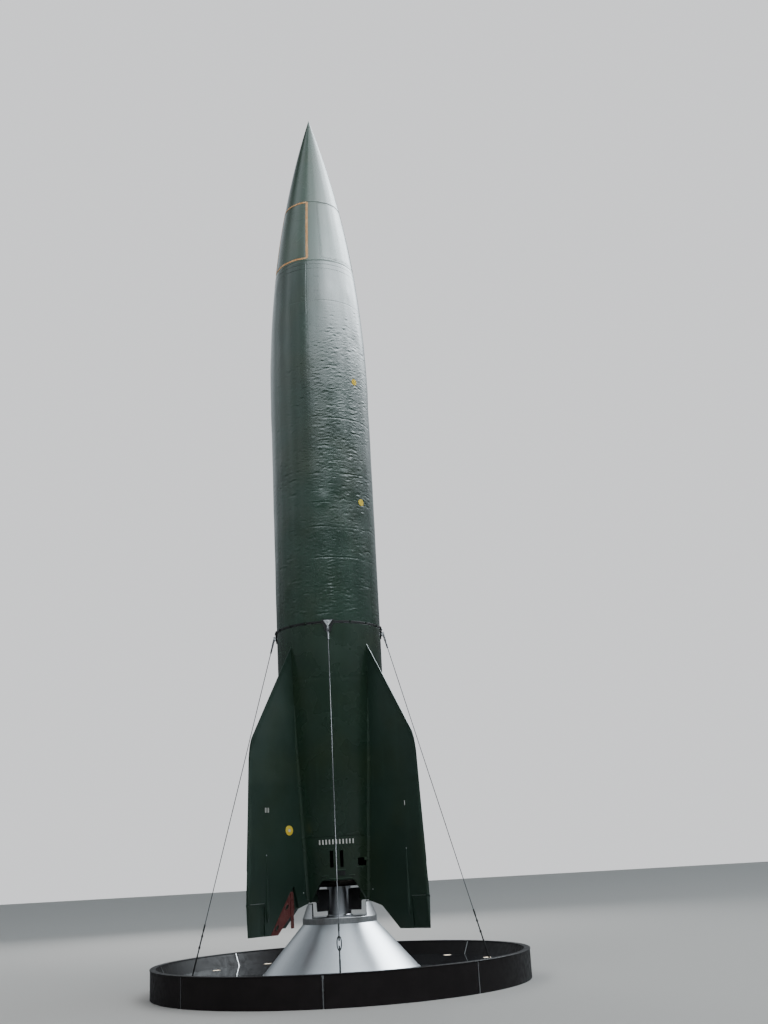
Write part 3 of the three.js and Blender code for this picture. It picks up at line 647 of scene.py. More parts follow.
DOOR_HALF = 35.5
DOOR_SEAM = 0.003
DOOR_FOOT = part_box("bay_door_1")[0].z - DOOR_SEAM
DOOR_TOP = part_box("bay_door_1")[1].z + DOOR_SEAM
DOOR_POCKET = 0.0215
DOOR_THICKNESS = 0.020
DOOR_ROWS = 42
DOOR_COLUMNS = 30
DOOR_ROLL = 0.012
DOOR_ROLL_DEPTH = 0.0025


def add_bay():
    top = NOSE_FOOT - SEAM_GAP
    edges = [angle + side * DOOR_HALF for angle in (-135, -45, 45, 135) for side in (-1, 1)]
    angles = with_steps(-180, 180, 145, edges, 0.02)[:-1]
    heights = with_steps(BAY_FOOT, top, 70, (DOOR_FOOT, DOOR_TOP))

    def relief(angle, height):
        from_middle = np.abs((angle % 90) - 45)
        inside = (from_middle < DOOR_HALF) & (height > DOOR_FOOT) & (height < DOOR_TOP)
        ring = groove(height, BAY_FOOT + 0.026, 0.004, 0.003)
        return np.where(inside, -DOOR_POCKET, ring) + rolled_ends(height, BAY_FOOT, top)

    piece("bay_skin", skin_form(heights, angles, relief), NOSE_PAINT, stands_for="instrument_bay")
    for number, middle in FIN_ANGLES.items():
        name = f"bay_door_{number}"
        piece(f"{name}_panel", door_form(number, middle), NOSE_PAINT, stands_for=name)


def door_form(number, middle):
    """One curved door in its pocket, its edges rolled off."""
    half = DOOR_HALF - math.degrees(DOOR_SEAM / BODY_RADIUS)
    low = DOOR_FOOT + DOOR_SEAM
    high = DOOR_TOP - DOOR_SEAM
    columns = np.linspace(-half, half, DOOR_COLUMNS)
    bulge = wavy(20 + number, 14, low, high, 0.0010, 0.16)
    rings = []
    for height in np.linspace(low, high, DOOR_ROWS):
        radius = skin(height)
        outer = []
        for column in columns:
            edge = min(height - low, high - height, math.radians(half - abs(column)) * radius)
            drop = DOOR_ROLL_DEPTH * max(0, 1 - edge / DOOR_ROLL) ** 2
            swell = float(bulge(np.array(column + middle), np.array(height)))
            outer.append(polar(radius - drop + swell, middle + column, height))
        inner = [polar(radius - DOOR_THICKNESS, middle + column, height) for column in columns[::-1]]
        rings.append(outer + inner)
    return loft(rings)


# Across a strip: shares of its half width, and of its thickness.
STRIP_SECTION = ((-1, 0), (-0.9, 1), (0, 1.25), (0.9, 1), (1, 0))
STRIP_WOBBLE = 0.0015


def skin_strip(start, end, width, lift, thickness, step=0.03):
    """A flat strip on the skin from one (angle, height) to another, level or upright."""
    (a0, z0), (a1, z1) = start, end
    level = z0 == z1
    length = abs(math.radians(a1 - a0)) * skin(z0) if level else abs(z1 - z0)
    count = max(2, int(length / step))
    rings = []
    for i in range(count + 1):
        share = i / count
        angle = between(a0, a1, share)
        height = between(z0, z1, share)
        wobble = STRIP_WOBBLE * math.sin(17 * share + 3 * z0)
        radius = skin(height)
        side = math.degrees(width / 2 / radius)
        section = []
        for shift, rise in STRIP_SECTION:
            at_angle = angle if level else angle + shift * side
            at_height = height + shift * width / 2 + wobble if level else height
            section.append(polar(skin(at_height) + lift + rise * thickness, at_angle, at_height))
        section.append(polar(radius - 0.004, angle, height))
        rings.append(section)
    return loft(rings)


# Widths of the strip round door 4: top, right, foot and left.
SEAL_WIDTHS = (0.032, 0.040, 0.034, 0.032)
SEAL_THICKNESS = 0.003
# Widths, top, right, foot and left, and thickness of the thin dark strips round doors 1 to 3 that paint in
# the shade of their seams.
SHADE_LINE_WIDTHS = (0.006, 0.006, 0.006, 0.006)
SHADE_LINE_THICKNESS = 0.0008
DOOR_GAP_ANGLES = (-60.5, -55.0)


def door_edge(number, widths, thickness):
    """Strips along the four edges of a door."""
    left = FIN_ANGLES[number] - DOOR_HALF
    right = FIN_ANGLES[number] + DOOR_HALF
    loop = [(left, DOOR_TOP), (right, DOOR_TOP), (right, DOOR_FOOT), (left, DOOR_FOOT), (left, DOOR_TOP)]
    sides = zip(loop, loop[1:], widths)
    return [skin_strip(start, end, width, 0.0005, thickness) for start, end, width in sides]


def add_door_seal():
    """Tan strip round door 4, thin dark strips round the other doors that paint in the shade of their seams,
    and a dark strip under door 1 that paints in the shade of a gap.
    """
    seal = door_edge(4, SEAL_WIDTHS, SEAL_THICKNESS)
    shade_lines = [strip for number in (1, 2, 3) for strip in door_edge(number, SHADE_LINE_WIDTHS, SHADE_LINE_THICKNESS)]
    piece("door_4_seal", merged(*seal), SEAL)
    piece("door_shade_lines", merged(*shade_lines), SHADED_TAIL_PAINT)
    # A thin near-black strip under door 1 paints in the shade of a gap there.
    start, end = ((angle, DOOR_FOOT - 0.004) for angle in DOOR_GAP_ANGLES)
    piece("door_1_gap_shade", skin_strip(start, end, 0.012, 0.0, 0.0012), RECESS)


SCREW_INSET = 0.030
SCREW_RADIUS = 0.0075


def add_door_screws():
    """Countersunk screws round the edge of each door."""
    low = DOOR_FOOT + SCREW_INSET
    high = DOOR_TOP - SCREW_INSET
    inset = math.degrees(SCREW_INSET / BODY_RADIUS)
    heads = []
    for middle in FIN_ANGLES.values():
        spots = []
        for height in np.linspace(low, high, 11):
            reach = DOOR_HALF - inset * BODY_RADIUS / skin(height)
            spots += [(middle + side * reach, height) for side in (-1, 1)]
        for angle in np.linspace(-DOOR_HALF + 5, DOOR_HALF - 5, 7):
            spots += [(middle + angle, low), (middle + angle, high)]
        for angle, height in spots:
            base = polar(skin(height) - 0.002, angle, height)
            heads.append(rod(base, base + polar(0.0036, angle, 0), SCREW_RADIUS, 10, 0.0012))
    piece("door_screws", merged(*heads), NOSE_PAINT)


# Tank section: two half shells of thin sheet, buckled into rows of small ripples

SHELL_SEAM = -101
SHELL_COLUMNS = 148
SHELL_ROW = 0.009
# The gap between the shells, in degrees, and the heights between which their lap grows clear.
SHELL_GAP = 0.03
LAP_CLEAR = (10.2, 10.8)
SMOOTH_FROM = BAY_FOOT - 0.80
RIPPLE_SEED = 7
BUNDLE_TRIES = 4600
STROKE_TRIES = 1500
DIMPLE_COUNT = 5200
FOLD_TRIES = 900
LONG_FOLDS = (5.82, 6.28, 6.78, 7.19, 7.68, 8.63)
LADDER_ANGLE = -85
LADDER = np.arange(5.66, 6.30, 0.052)
FOOT_FOLDS = (-96, -91, -86, -80, -75, -69, -62)


def busyness(turn, height):
    """How thickly folds cover the skin: each shell is busy for the first half of its turn and calm after."""
    past_seam = (turn - SHELL_SEAM) % 180
    side = 0.22 + 0.74 * float(ease(past_seam, 2, 12) * ease(past_seam, 118, 92))
    top = float(ease(height, SMOOTH_FROM + 0.1, SMOOTH_FROM - 0.8))
    calm = 1 - 0.45 * float(ease(height, BELT + 2.2, BELT + 1.4))
    return side * top * calm


def bundle_table():
    """Seeded bundles: angle, height, half width, half height, pitch, lean, bend, depth and phase of each."""
    rng = np.random.default_rng(RIPPLE_SEED)
    bundles = []
    for _ in range(BUNDLE_TRIES):
        turn = rng.uniform(-180, 180)
        height = rng.uniform(BELT + 0.05, SMOOTH_FROM + 0.05)
        along = math.radians(turn) * BODY_RADIUS
        patch = math.sin(7.1 * along + 2.3 * height) * math.sin(3.2 * height - 4.7 * along + 0.5)
        if rng.uniform() > busyness(turn, height) * (0.62 + 0.5 * patch):
            continue
        upper = float(ease(height, BELT + 2.4, BELT + 3.4))
        diagonal = 0.55 * upper * float(ease((turn - SHELL_SEAM) % 180, 24, 44))
        width = rng.uniform(0.022, 0.060)
        tall = rng.uniform(0.014, 0.040)
        pitch = rng.uniform(0.036, 0.064)
        lean = rng.normal(0, 0.22 + 0.25 * upper)
        if rng.uniform() < diagonal:
            lean -= rng.uniform(0.4, 0.95)
        depth = rng.uniform(0.0003, 0.0010)
        bend = rng.normal(0, 0.9)
        bundles.append((turn, height, width, tall, pitch, lean, bend, depth, rng.uniform(0, 2 * math.pi)))
    for _ in range(STROKE_TRIES):
        turn = rng.uniform(-180, 180)
        height = rng.normal(BELT + 4.1, 0.75)
        if rng.uniform() > busyness(turn, height):
            continue
        width = rng.uniform(0.020, 0.036)
        tall = rng.uniform(0.014, 0.028)
        pitch = rng.uniform(0.045, 0.075)
        depth = rng.uniform(0.0007, 0.0019)
        lean = rng.normal(-0.55, 0.5)
        bundles.append((turn, height, width, tall, pitch, lean, 0.0, depth, rng.normal(0, 0.6)))
    return bundles


def hammer_table():
    """Seeded shallow dimples all over: angle, height, half width, half height, depth and arch of each."""
    rng = np.random.default_rng(RIPPLE_SEED + 2)
    dimples = []
    for _ in range(DIMPLE_COUNT):
        turn = rng.uniform(-180, 180)
        height = rng.uniform(BELT + 0.03, SMOOTH_FROM + 0.45)
        fade = float(ease(height, SMOOTH_FROM + 0.45, SMOOTH_FROM - 0.7))
        depth = rng.normal(0, 0.0010) * (0.5 + 0.5 * busyness(turn, height)) * fade
        width = rng.uniform(0.016, 0.036)
        tall = rng.uniform(0.011, 0.024)
        dimples.append((turn, height, width, tall, depth, rng.normal(0, 0.9)))
    return dimples


def dent_table():
    """Seeded single folds, rows of folds at set heights, a ladder of short ones, and some at the belt.

    Each has an angle, a height, a half width, a half height, a depth and an arch.
    """
    rng = np.random.default_rng(RIPPLE_SEED + 1)
    dents = []
    for _ in range(FOLD_TRIES):
        turn = rng.uniform(-180, 180)
        height = rng.uniform(BELT + 0.04, SMOOTH_FROM + 0.35)
        if rng.uniform() > 0.2 + busyness(turn, height):
            continue
        depth = rng.uniform(0.0007, 0.0021)
        width = rng.uniform(0.020, 0.055)
        tall = rng.uniform(0.011, 0.020)
        dents.append((turn, height, width, tall, depth, rng.normal(0, 0.8)))
    for height in LONG_FOLDS:
        for start in (SHELL_SEAM, SHELL_SEAM + 180):
            for turn in np.arange(start + 6, start + 100, 11.0):
                if rng.uniform() < 0.7:
                    place = height + rng.normal(0, 0.012)
                    at = turn + rng.normal(0, 3)
                    width = rng.uniform(0.09, 0.16)
                    dents.append((at, place, width, 0.011, rng.uniform(0.0008, 0.0016), 0.0))
    for height in LADDER:
        at = LADDER_ANGLE + rng.normal(0, 0.8)
        dents.append((at, height, 0.030, 0.012, rng.uniform(0.0012, 0.0020), 0.9))
    for turn in FOOT_FOLDS:
        height = BELT + rng.uniform(0.08, 0.30)
        dents.append((turn, height, 0.035, 0.014, 0.0015, rng.choice((-1.6, 1.6))))
    return dents


BUNDLES = bundle_table()
DENTS = dent_table() + hammer_table()


def window(angles, heights, turn, height, reach_across, reach_up):
    """The rows, columns, and offsets across and up, of a grid's part near a place."""
    rows = slice(*np.searchsorted(heights, (height - reach_up, height + reach_up)))
    across = np.radians((angles - turn + 180) % 360 - 180) * BODY_RADIUS
    columns = np.nonzero(np.abs(across) < reach_across)[0]
    return rows, columns, across[columns], heights[rows, None] - height


def rippled(angles, heights):
    """The relief of all folds on a grid of angles and heights."""
    total = np.zeros((len(heights), len(angles)))
    for turn, height, width, tall, pitch, lean, bend, depth, phase in BUNDLES:
        rows, columns, across, up = window(angles, heights, turn, height, 2.4 * width, 2.4 * tall)
        if not up.size or not len(columns):
            continue
        line = up * math.cos(lean) + across * math.sin(lean) - bend * across ** 2 / width
        envelope = np.exp(-(across / width) ** 2) * np.exp(-(up / tall) ** 2)
        total[rows, columns] += depth * envelope * (np.cos(2 * math.pi * line / pitch + phase) - 0.3)
    for turn, height, width, tall, depth, arch in DENTS:
        rows, columns, across, up = window(angles, heights, turn, height, 2.6 * width, 4 * tall)
        if not up.size or not len(columns):
            continue
        u = across / width
        v = up / tall - arch * (u * u - 0.5)
        total[rows, columns] += depth * np.exp(-u * u) * (0.45 * np.exp(-(v - 1.3) ** 2) - np.exp(-v * v))
    return total


def add_tank_shells():
    top = BAY_FOOT - SEAM_GAP
    fine = np.arange(BELT + 0.0012, SMOOTH_FROM + 0.30, SHELL_ROW)
    smooth = np.arange(fine[-1] + 0.018, top - 0.008, 0.020)
    heights = np.concatenate((fine, smooth, top - np.array([0.006, 0.003, 0.0])))
    low, high = heights[0], heights[-1]
    uneven = wavy(31, 240, low, high, 0.0022, 0.12)
    clear = 0.3 + 0.7 * ease(heights, *LAP_CLEAR)
    for name, start in (("tank_shell_left", SHELL_SEAM - 180), ("tank_shell_right", SHELL_SEAM)):
        angles = np.linspace(start + SHELL_GAP, start + 180 - SHELL_GAP, SHELL_COLUMNS)
        from_edge = np.radians(np.minimum(angles - start, start + 180 - angles)) * BODY_RADIUS
        lap = 0.0009 * ease(from_edge, 0.050, 0.020) - 0.0010 * ease(from_edge, 0.006, 0.0)
        ripples = rippled(angles, heights) + clear[:, None] * lap[None, :]

        def relief(angle, height, ripples=ripples):
            rings = sum(groove(height, ring, 0.005, 0.0016) for ring in (BAY_FOOT - 0.062, BAY_FOOT - 0.80))
            return ripples + uneven(angle, height) + rings + rolled_ends(height, low, high)

        piece(f"{name}_skin", skin_form(heights, angles, relief), TANK_PAINT, stands_for=name, crease=60)


CHANNEL_EDGES = (-90.0, -84.9)
CHANNEL_FOOT = 10.76
CHANNEL_TICKS = (11.23, 10.95)
# Places past the seam in degrees, lower ends, widths and thicknesses of the cover strips.
COVER_STRIPS = ((-1.2, 10.5, 0.030, 0.0009), (3.6, 10.3, 0.012, 0.0025))
LINE_WIDTH = 0.006
LINE_THICKNESS = 0.0015


def add_shell_strips():
    """Narrow cover strips that run down the tank section from the bay, and thin strips in the darker tail
    green that paint in the shadow lines of its channels and of two rings under the bay.
    """
    top = BAY_FOOT - 0.075
    forms = []
    seams = []
    for turn in (0, 180):
        for place, foot, width, thickness in COVER_STRIPS:
            at = SHELL_SEAM + turn + place
            forms.append(skin_strip((at, top), (at, foot), width, 0.0, thickness, 0.12))
        # The channels' edges and ticks, and the two rings below, are dark strips that paint in shadow lines.
        left, right = (edge + turn for edge in CHANNEL_EDGES)
        lines = [((edge, top), (edge, CHANNEL_FOOT), LINE_THICKNESS, 0.12) for edge in (left, right)]
        lines.append(((left, CHANNEL_FOOT), (right, CHANNEL_FOOT), LINE_THICKNESS, 0.02))
        lines += [((left - 1.4, tick), (right + 1.4, tick), 0.0018, 0.02) for tick in CHANNEL_TICKS]
        for start, end, thickness, step in lines:
            seams.append(skin_strip(start, end, LINE_WIDTH, 0.0, thickness, step))
    seams += [flat_ring(ring, 0.003, 0.002) for ring in (top, top - 0.090)]
    piece("tank_cover_strips", merged(*forms), TANK_PAINT)
    piece("tank_channel_shade_lines", merged(*seams), SHADED_TAIL_PAINT)


def flat_ring(height, half, proud, slant=0.0, sunk=0.003):
    """A narrow ring round the skin. slant narrows its outer edges."""
    radius = skin(height)
    profile = [
        (radius - sunk, height - half),
        (radius + proud, height - half + slant),
        (radius + proud, height + half - slant),
        (radius - sunk, height + half),
    ]
    return lathe(profile, 144, closed=True)


# The belt over the joint between tank section and tail

BELT_HALF = 0.015
BELT_PROUD = 0.0068
PAD_FACE = 0.840
CLIP_SIDES = (-65.5, -45, -24.5, 24.5, 45, 65.5)
CLIP_HALF = 0.013
PAD_OUTLINE = ((-0.100, 0.034), (-0.042, -0.150), (0.042, -0.150), (0.100, 0.034))


def add_belt():
    inner = BODY_RADIUS - 0.012
    outer = BODY_RADIUS + BELT_PROUD
    edge = 0.003
    profile = [
        (inner, BELT - BELT_HALF),
        (outer - edge, BELT - BELT_HALF),
        (outer, BELT - BELT_HALF + edge),
        (outer, BELT + BELT_HALF - edge),
        (outer - edge, BELT + BELT_HALF),
        (inner, BELT + BELT_HALF),
    ]
    band = lathe(profile, 180, closed=True)
    pad = facing([(y, BELT + z) for y, z in PAD_OUTLINE], inner, PAD_FACE)
    piece("belt_band", merged(band, around(pad, SIDE_ANGLES.values())), BLACK, stands_for="joint_belt")

    reach = BELT_HALF + 0.004
    plate = block((outer - 0.001, -CLIP_HALF, BELT - reach), (outer + 0.005, CLIP_HALF, BELT + reach), 0.0015)
    clip = merged(plate, bolt((outer + 0.005, 0, BELT), (1, 0, 0), 0.012, 0.004))
    clips = around(clip, [side + turn for side in SIDE_ANGLES.values() for turn in CLIP_SIDES])
    piece("belt_clips", clips, SHADED_TAIL_PAINT)

    middle = (BODY_RADIUS - 0.004, BELT - BELT_HALF - 0.007)
    ring = [(middle[0] + 0.0075 * math.cos(t), middle[1] + 0.0045 * math.sin(t)) for t in circle(8)]
    piece("belt_lower_ring", lathe(ring, 180, closed=True), STAY_STEEL)


# Tail

TAIL_SEAMS = (FOOT + 2.59, FOOT + 3.62)


def add_tail():
    low = SKIRT_TOP + 0.0008
    high = BELT - 0.0008
    heights = with_steps(low, high, 150, (low + 0.003, high - 0.003))
    angles = np.linspace(-180, 180, 216, endpoint=False)
    uneven = wavy(41, 70, low, high, 0.0014, 0.22)

    def relief(angle, height):
        seams = sum(groove(height, seam, 0.004, 0.0015) for seam in TAIL_SEAMS)
        return uneven(angle, height) + seams + rolled_ends(height, low, high, 0.005, 0.0022)

    piece("tail_skin", skin_form(heights, angles, relief), SHADED_TAIL_PAINT, stands_for="tail_section", crease=60)


SKIRT_WALL = 0.015
SKIRT_SHELF = 0.020
CHAMBER_BORE = 0.480
ARCH_SIDE = [(0.422, 0.340), (0.402, 0.392), (0.262, 0.640), (0.225, 0.690)]
ARCH = [(-0.422, 0.340), *ARCH_SIDE, *[(-x, z) for x, z in ARCH_SIDE[:0:-1]]]
SLOTS = ((-0.078, 0.050), (0.068, 0.050))
SLOT_FOOT = FOOT + 0.870
SLOT_TOP = FOOT + 1.105
HATCH_ANGLE = -58.5
HATCH_WIDTH = 0.150
# The hatch's lower and upper end, over the foot.
HATCH_FOOT = 0.880
HATCH_TOP = 0.990
THROUGH = 1.5
VANE_AXIS = FOOT + 0.430
SKIRT_LAP = FOOT + 1.165


def add_skirt():
    outside = [(skin(z), z) for z in np.linspace(SKIRT_FOOT, SKIRT_TOP, 26)]
    outside[0] = (outside[0][0] - 0.004, SKIRT_FOOT)
    shelf = SKIRT_TOP - SKIRT_SHELF
    inside = [(skin(z) - SKIRT_WALL, z) for z in np.linspace(shelf, SKIRT_FOOT, 12)]
    shell = lathe(outside + [(CHAMBER_BORE, SKIRT_TOP), (CHAMBER_BORE, shelf)] + inside, 144, closed=True)
    arch = prism(standing(ARCH), -THROUGH, THROUGH)
    cutters = [arch, arch.placed(spoke(90))]
    for side, width in SLOTS:
        low = (side - width / 2, -THROUGH, SLOT_FOOT)
        cutters.append(block(low, (side + width / 2, THROUGH, SLOT_TOP), 0.004))
    half = HATCH_WIDTH / 2
    hatch = block((0.45, -half, FOOT + HATCH_FOOT), (THROUGH, half, FOOT + HATCH_TOP), 0.006)
    cutters.append(hatch.placed(spoke(HATCH_ANGLE)))
    body = carved(shell, *cutters)

    far = skin(SKIRT_FOOT) - 0.006
    carrier = block((0.478, -0.045, FOOT + 0.400), (far, 0.045, FOOT + 0.505), 0.006)
    bore = rod((0.45, 0, VANE_AXIS), (0.546, 0, VANE_AXIS), 0.0215, 32)
    carriers = around(carved(carrier, bore), FIN_ANGLES.values())
    piece("skirt_skin", body, SHADED_TAIL_PAINT, stands_for="tail_skirt", crease=25)
    piece("vane_carriers", carriers, SHADED_TAIL_PAINT)
    piece("skirt_lap", flat_ring(SKIRT_LAP, 0.012, 0.0022, 0.002, 0.006), SHADED_TAIL_PAINT)


def arch_flange():
    """A lighter edge that stands along the lower edge of one arch, facing +X."""
    outline = ARCH[2:]
    forms = []
    for (y0, z0), (y1, z1) in zip(outline, outline[1:]):
        rings = []
        for share in np.linspace(0, 1, 8):
            y = between(y0, y1, share)
            z = FOOT + z0 + (z1 - z0) * share
            x = math.sqrt(skin(z) ** 2 - y * y)
            away = Vector((0, -(z1 - z0), y1 - y0)).normalized()
            away = away if away.z > 0 or away.y * y > 0 else -away
            section = ((x + 0.0025, 0.000), (x + 0.0025, 0.018), (x - 0.006, 0.018), (x - 0.006, 0.000))
            rings.append([(depth, y + away.y * lift, z + away.z * lift) for depth, lift in section])
        forms.append(loft(rings))
    return merged(*forms)


def outer_plate(side, low, high, width, proud=0.004):
    """A flat plate on the skirt's outside, facing +X, between two heights over the foot."""
    near = math.sqrt(skin(FOOT + low) ** 2 - side ** 2) - 0.012
    far = math.sqrt(skin(FOOT + high) ** 2 - side ** 2) + proud
    return block((near, side - width / 2, FOOT + low), (far, side + width / 2, FOOT + high), 0.0015)


INNER_RINGS = (FOOT + 0.745, FOOT + 1.16)
# Plates on the skirt: place from the middle, lower and upper end over the foot, width, and how far out.
DARK_PLATE = (0.060, 0.757, 0.815, 0.100)
SKIRT_STRIPS = (
    (-0.160, 0.752, 0.762, 0.150, 0.006),
    (0.190, 0.752, 0.762, 0.130, 0.006),
    (0.055, 0.832, 0.842, 0.140, 0.006),
    (0.0, 0.712, 0.720, 0.420, 0.005),
)
HATCH_TRIM = (
    (0.0, HATCH_FOOT - 0.026, HATCH_FOOT - 0.014, HATCH_WIDTH + 0.02, 0.006),
    (0.052, HATCH_TOP - 0.040, HATCH_TOP + 0.006, 0.034, 0.008),
)


def add_skirt_frames():
    """Edge strips round the arches, stiffening rings inside the skirt and its small fittings."""
    forms = []
    for height in INNER_RINGS:
        radius = skin(height) - SKIRT_WALL
        section = [
            (radius + 0.002, height - 0.022),
            (radius + 0.002, height + 0.022),
            (radius - 0.004, height + 0.022),
            (radius - 0.045, height + 0.004),
            (radius - 0.045, height - 0.004),
            (radius - 0.004, height - 0.022),
        ]
        forms.append(lathe(section, 96, closed=True))
    piece("skirt_inner_rings", merged(*forms), GRAPHITE)
    piece("skirt_arch_edges", around(arch_flange(), SIDE_ANGLES.values()), SHADED_TAIL_PAINT)

    front = spoke(SIDE_ANGLES[1])
    piece("skirt_plate", outer_plate(*DARK_PLATE).placed(front), RECESS)
    piece("skirt_strips", merged(*(outer_plate(*strip) for strip in SKIRT_STRIPS)).placed(front), NOSE_PAINT)
    trim = merged(*(outer_plate(*strip) for strip in HATCH_TRIM))
    piece("hatch_trim", trim.placed(spoke(HATCH_ANGLE)), NOSE_PAINT)


# Engine

# Radii and heights over the foot of the bell's inside, from its lip up.
BELL = [(0.365, 0.600), (0.345, 0.710), (0.310, 0.850), (0.262, 1.010), (0.222, 1.140), (0.200, 1.250)]
BELL_WALL = 0.014
CHAMBER_RADIUS = 0.470
CHAMBER_TOP = 2.110
# The pipe round the bell: its height over the foot, its distance from the bell's wall and its radius.
MANIFOLD = 0.660
MANIFOLD_OUT = 0.030
MANIFOLD_RADIUS = 0.032
# The pipes that rise from it: their height, turn in degrees, distance from the wall, bow and radius.
PIPE_RISE = 0.50
PIPE_TURN = 14
PIPE_OUT = 0.034
PIPE_BOW = 0.03
PIPE_RADIUS = 0.020


def add_engine():
    radii, heights = np.array(BELL).T
    fine = np.linspace(heights[0], heights[-1], 30)
    smooth = smoothed(np.interp(fine, heights, radii), 3)

    def wall(over_foot):
        return float(np.interp(over_foot, fine, smooth)) + BELL_WALL

    inside = standing(zip(smooth, fine))
    outside = [(r + BELL_WALL + 0.002 * math.cos(z * 120), FOOT + z) for r, z in zip(smooth, fine)]
    throat = FOOT + fine[-1]
    shoulder = [(0.300, throat + 0.09), (0.430, throat + 0.20), (CHAMBER_RADIUS, throat + 0.30)]
    top = standing([(CHAMBER_RADIUS, CHAMBER_TOP - 0.02), (CHAMBER_RADIUS - 0.02, CHAMBER_TOP)])
    bell = lathe([(0.05, throat + 0.02), *inside[::-1], *outside, *shoulder, *top], 128)
    ring = wall(MANIFOLD) + MANIFOLD_OUT
    section = []
    for turn in circle(16):
        across = MANIFOLD_RADIUS * math.cos(turn)
        section.append((ring + across, FOOT + MANIFOLD + MANIFOLD_RADIUS * math.sin(turn)))
    manifold = lathe(section, 96, closed=True)
    pipes = []
    for angle in range(0, 360, 60):
        path = []
        for share in np.linspace(0, 1, 12):
            z = MANIFOLD + PIPE_RISE * share
            radius = wall(z) + PIPE_OUT + PIPE_BOW * math.sin(math.pi * share)
            path.append(polar(radius, angle + PIPE_TURN * share, FOOT + z))
        pipes.append(tube(path, PIPE_RADIUS, 12))
    piece("engine_bell", merged(bell, manifold, *pipes), ENGINE_STEEL, stands_for="engine")


# Fins

FIN_STATIONS = [
    # radius, height of the leading edge over the foot, half thickness
    (0.5200, 4.668, 0.060),
    (0.8255, 4.144, 0.056),
    (1.2400, 3.440, 0.045),
    (1.6550, 2.727, 0.034),
    (1.6900, 2.610, 0.033),
    (1.7140, 2.440, 0.032),
    (1.7420, 1.800, 0.031),
    (1.7860, 0.900, 0.029),
]
FIN_FULLEST = 0.7
FIN_EDGE = 0.004
FIN_LOWER_EDGE = [(0.500, 0.406), (0.650, 0.394), (0.920, 0.315), (1.240, 0.0)]
OPEN_BAY = [(0.940, 0.640), (1.000, 0.590), (1.415, -0.020), (1.200, -0.020), (0.860, 0.345)]
OPEN_BAY_FLOOR = 0.008
FIN_ROUNDING = 0.045
FIN_SEAMS = (2.68, 2.03)
FIN_LAP = 0.0018


def smooth_stations():
    """Fin stations along the given line, its corners rounded, close together round the fin's outer corner."""
    table = np.array(FIN_STATIONS)
    along = np.concatenate(([0], np.cumsum(np.hypot(*np.diff(table[:, :2], axis=0).T))))
    near_corner = np.linspace(along[3] - 0.10, along[5] + 0.10, 34)
    at = np.unique(np.concatenate((np.linspace(0, along[-1], 44), near_corner)))
    spread = np.linspace(-FIN_ROUNDING, FIN_ROUNDING, 9)
    stations = []
    for s in at:
        reach = min(1, s / FIN_ROUNDING, (along[-1] - s) / FIN_ROUNDING)
        stations.append([float(np.mean(np.interp(s + reach * spread, along, column))) for column in table.T])
    return stations


def fin_half(half, share):
    """Half the fin's thickness at a share of the chord, counted down from the leading edge."""
    if share < FIN_FULLEST:
        return max(FIN_EDGE, half * math.sin(share / FIN_FULLEST * math.pi / 2))
    return half * (1 - 0.35 * ((share - FIN_FULLEST) / (1 - FIN_FULLEST)) ** 2)


def fin_form():
    shares = np.concatenate((np.linspace(0, 0.06, 7)[:-1], np.linspace(0.06, 1, 76)))
    rings = []
    for radius, top, half in smooth_stations():
        sides = []
        for share in shares:
            height = top * (1 - share)
            lap = sum(FIN_LAP * float(ease(height, seam + 0.004, seam - 0.004)) for seam in FIN_SEAMS)
            sides.append((fin_half(half, share) - (0 if share < 0.02 else lap), FOOT + height))
        ring = [(radius, 0, FOOT + top + 0.0008)]
        ring += [(radius, y, z) for y, z in sides]
        ring += [(radius, -y, z) for y, z in sides[::-1]]
        rings.append(ring)
    return loft(rings)


def fin_surface(radius, over_foot):
    """Half the fin's thickness at a radius and a height over the foot."""
    table = np.array(FIN_STATIONS)
    top = float(np.interp(radius, table[:, 0], table[:, 1]))
    half = float(np.interp(radius, table[:, 0], table[:, 2]))
    return fin_half(half, min(1, max(0, 1 - over_foot / top)))


FILLET_FOOT = 0.420
FILLET_TOP = 3.300
FILLET_LEG = 0.042
FILLET_LEG_TOP = 0.012


def fillet_form():
    """The hollow fillets between the body and both faces of a fin along +X."""
    forms = []
    for face in (-1, 1):
        rings = []
        for over_foot in np.linspace(FILLET_FOOT, FILLET_TOP, 64):
            z = FOOT + over_foot
            leg = FILLET_LEG_TOP + (FILLET_LEG - FILLET_LEG_TOP) * float(ease(over_foot, FILLET_TOP, 2.5))
            radius = skin(z)
            half = fin_surface(radius, over_foot)
            corner = Vector((math.sqrt(radius ** 2 - half ** 2), half))
            turn = math.asin((half + leg) / radius)
            sunk = radius - 0.0015
            on_body = Vector((sunk * math.cos(turn), sunk * math.sin(turn)))
            outer = corner.x + leg
            on_fin = Vector((outer, fin_surface(outer, over_foot) - 0.0015))
            curve = [corner - Vector((0.010, 0.012))]
            for step in range(7):
                t = step / 6
                curve.append((1 - t) ** 2 * on_body + 2 * t * (1 - t) * corner + t ** 2 * on_fin)
            rings.append([(p.x, face * p.y, z) for p in curve])
        forms.append(loft(rings))
    return merged(*forms)


RUDDER_INNER = 1.503
RUDDER_OUTER = 1.784
RUDDER_AXIS = FOOT + 0.395
RUDDER_NOSE = 0.029
RUDDER_TAIL = 0.008
PIN_END = 1.459
PIN_RADIUS = 0.012
# The straps on the rudder's faces: distance from its ends, half widths, height of the foot, and lift.
STRAP_INSET = 0.045
STRAP_TOP_HALF = 0.012
STRAP_FOOT_HALF = 0.008
STRAP_FOOT = FOOT + 0.05
STRAP_PROUD = 0.0022
NOTCH_RADIUS = 1.495
NOTCH_TOP = FOOT + 0.432

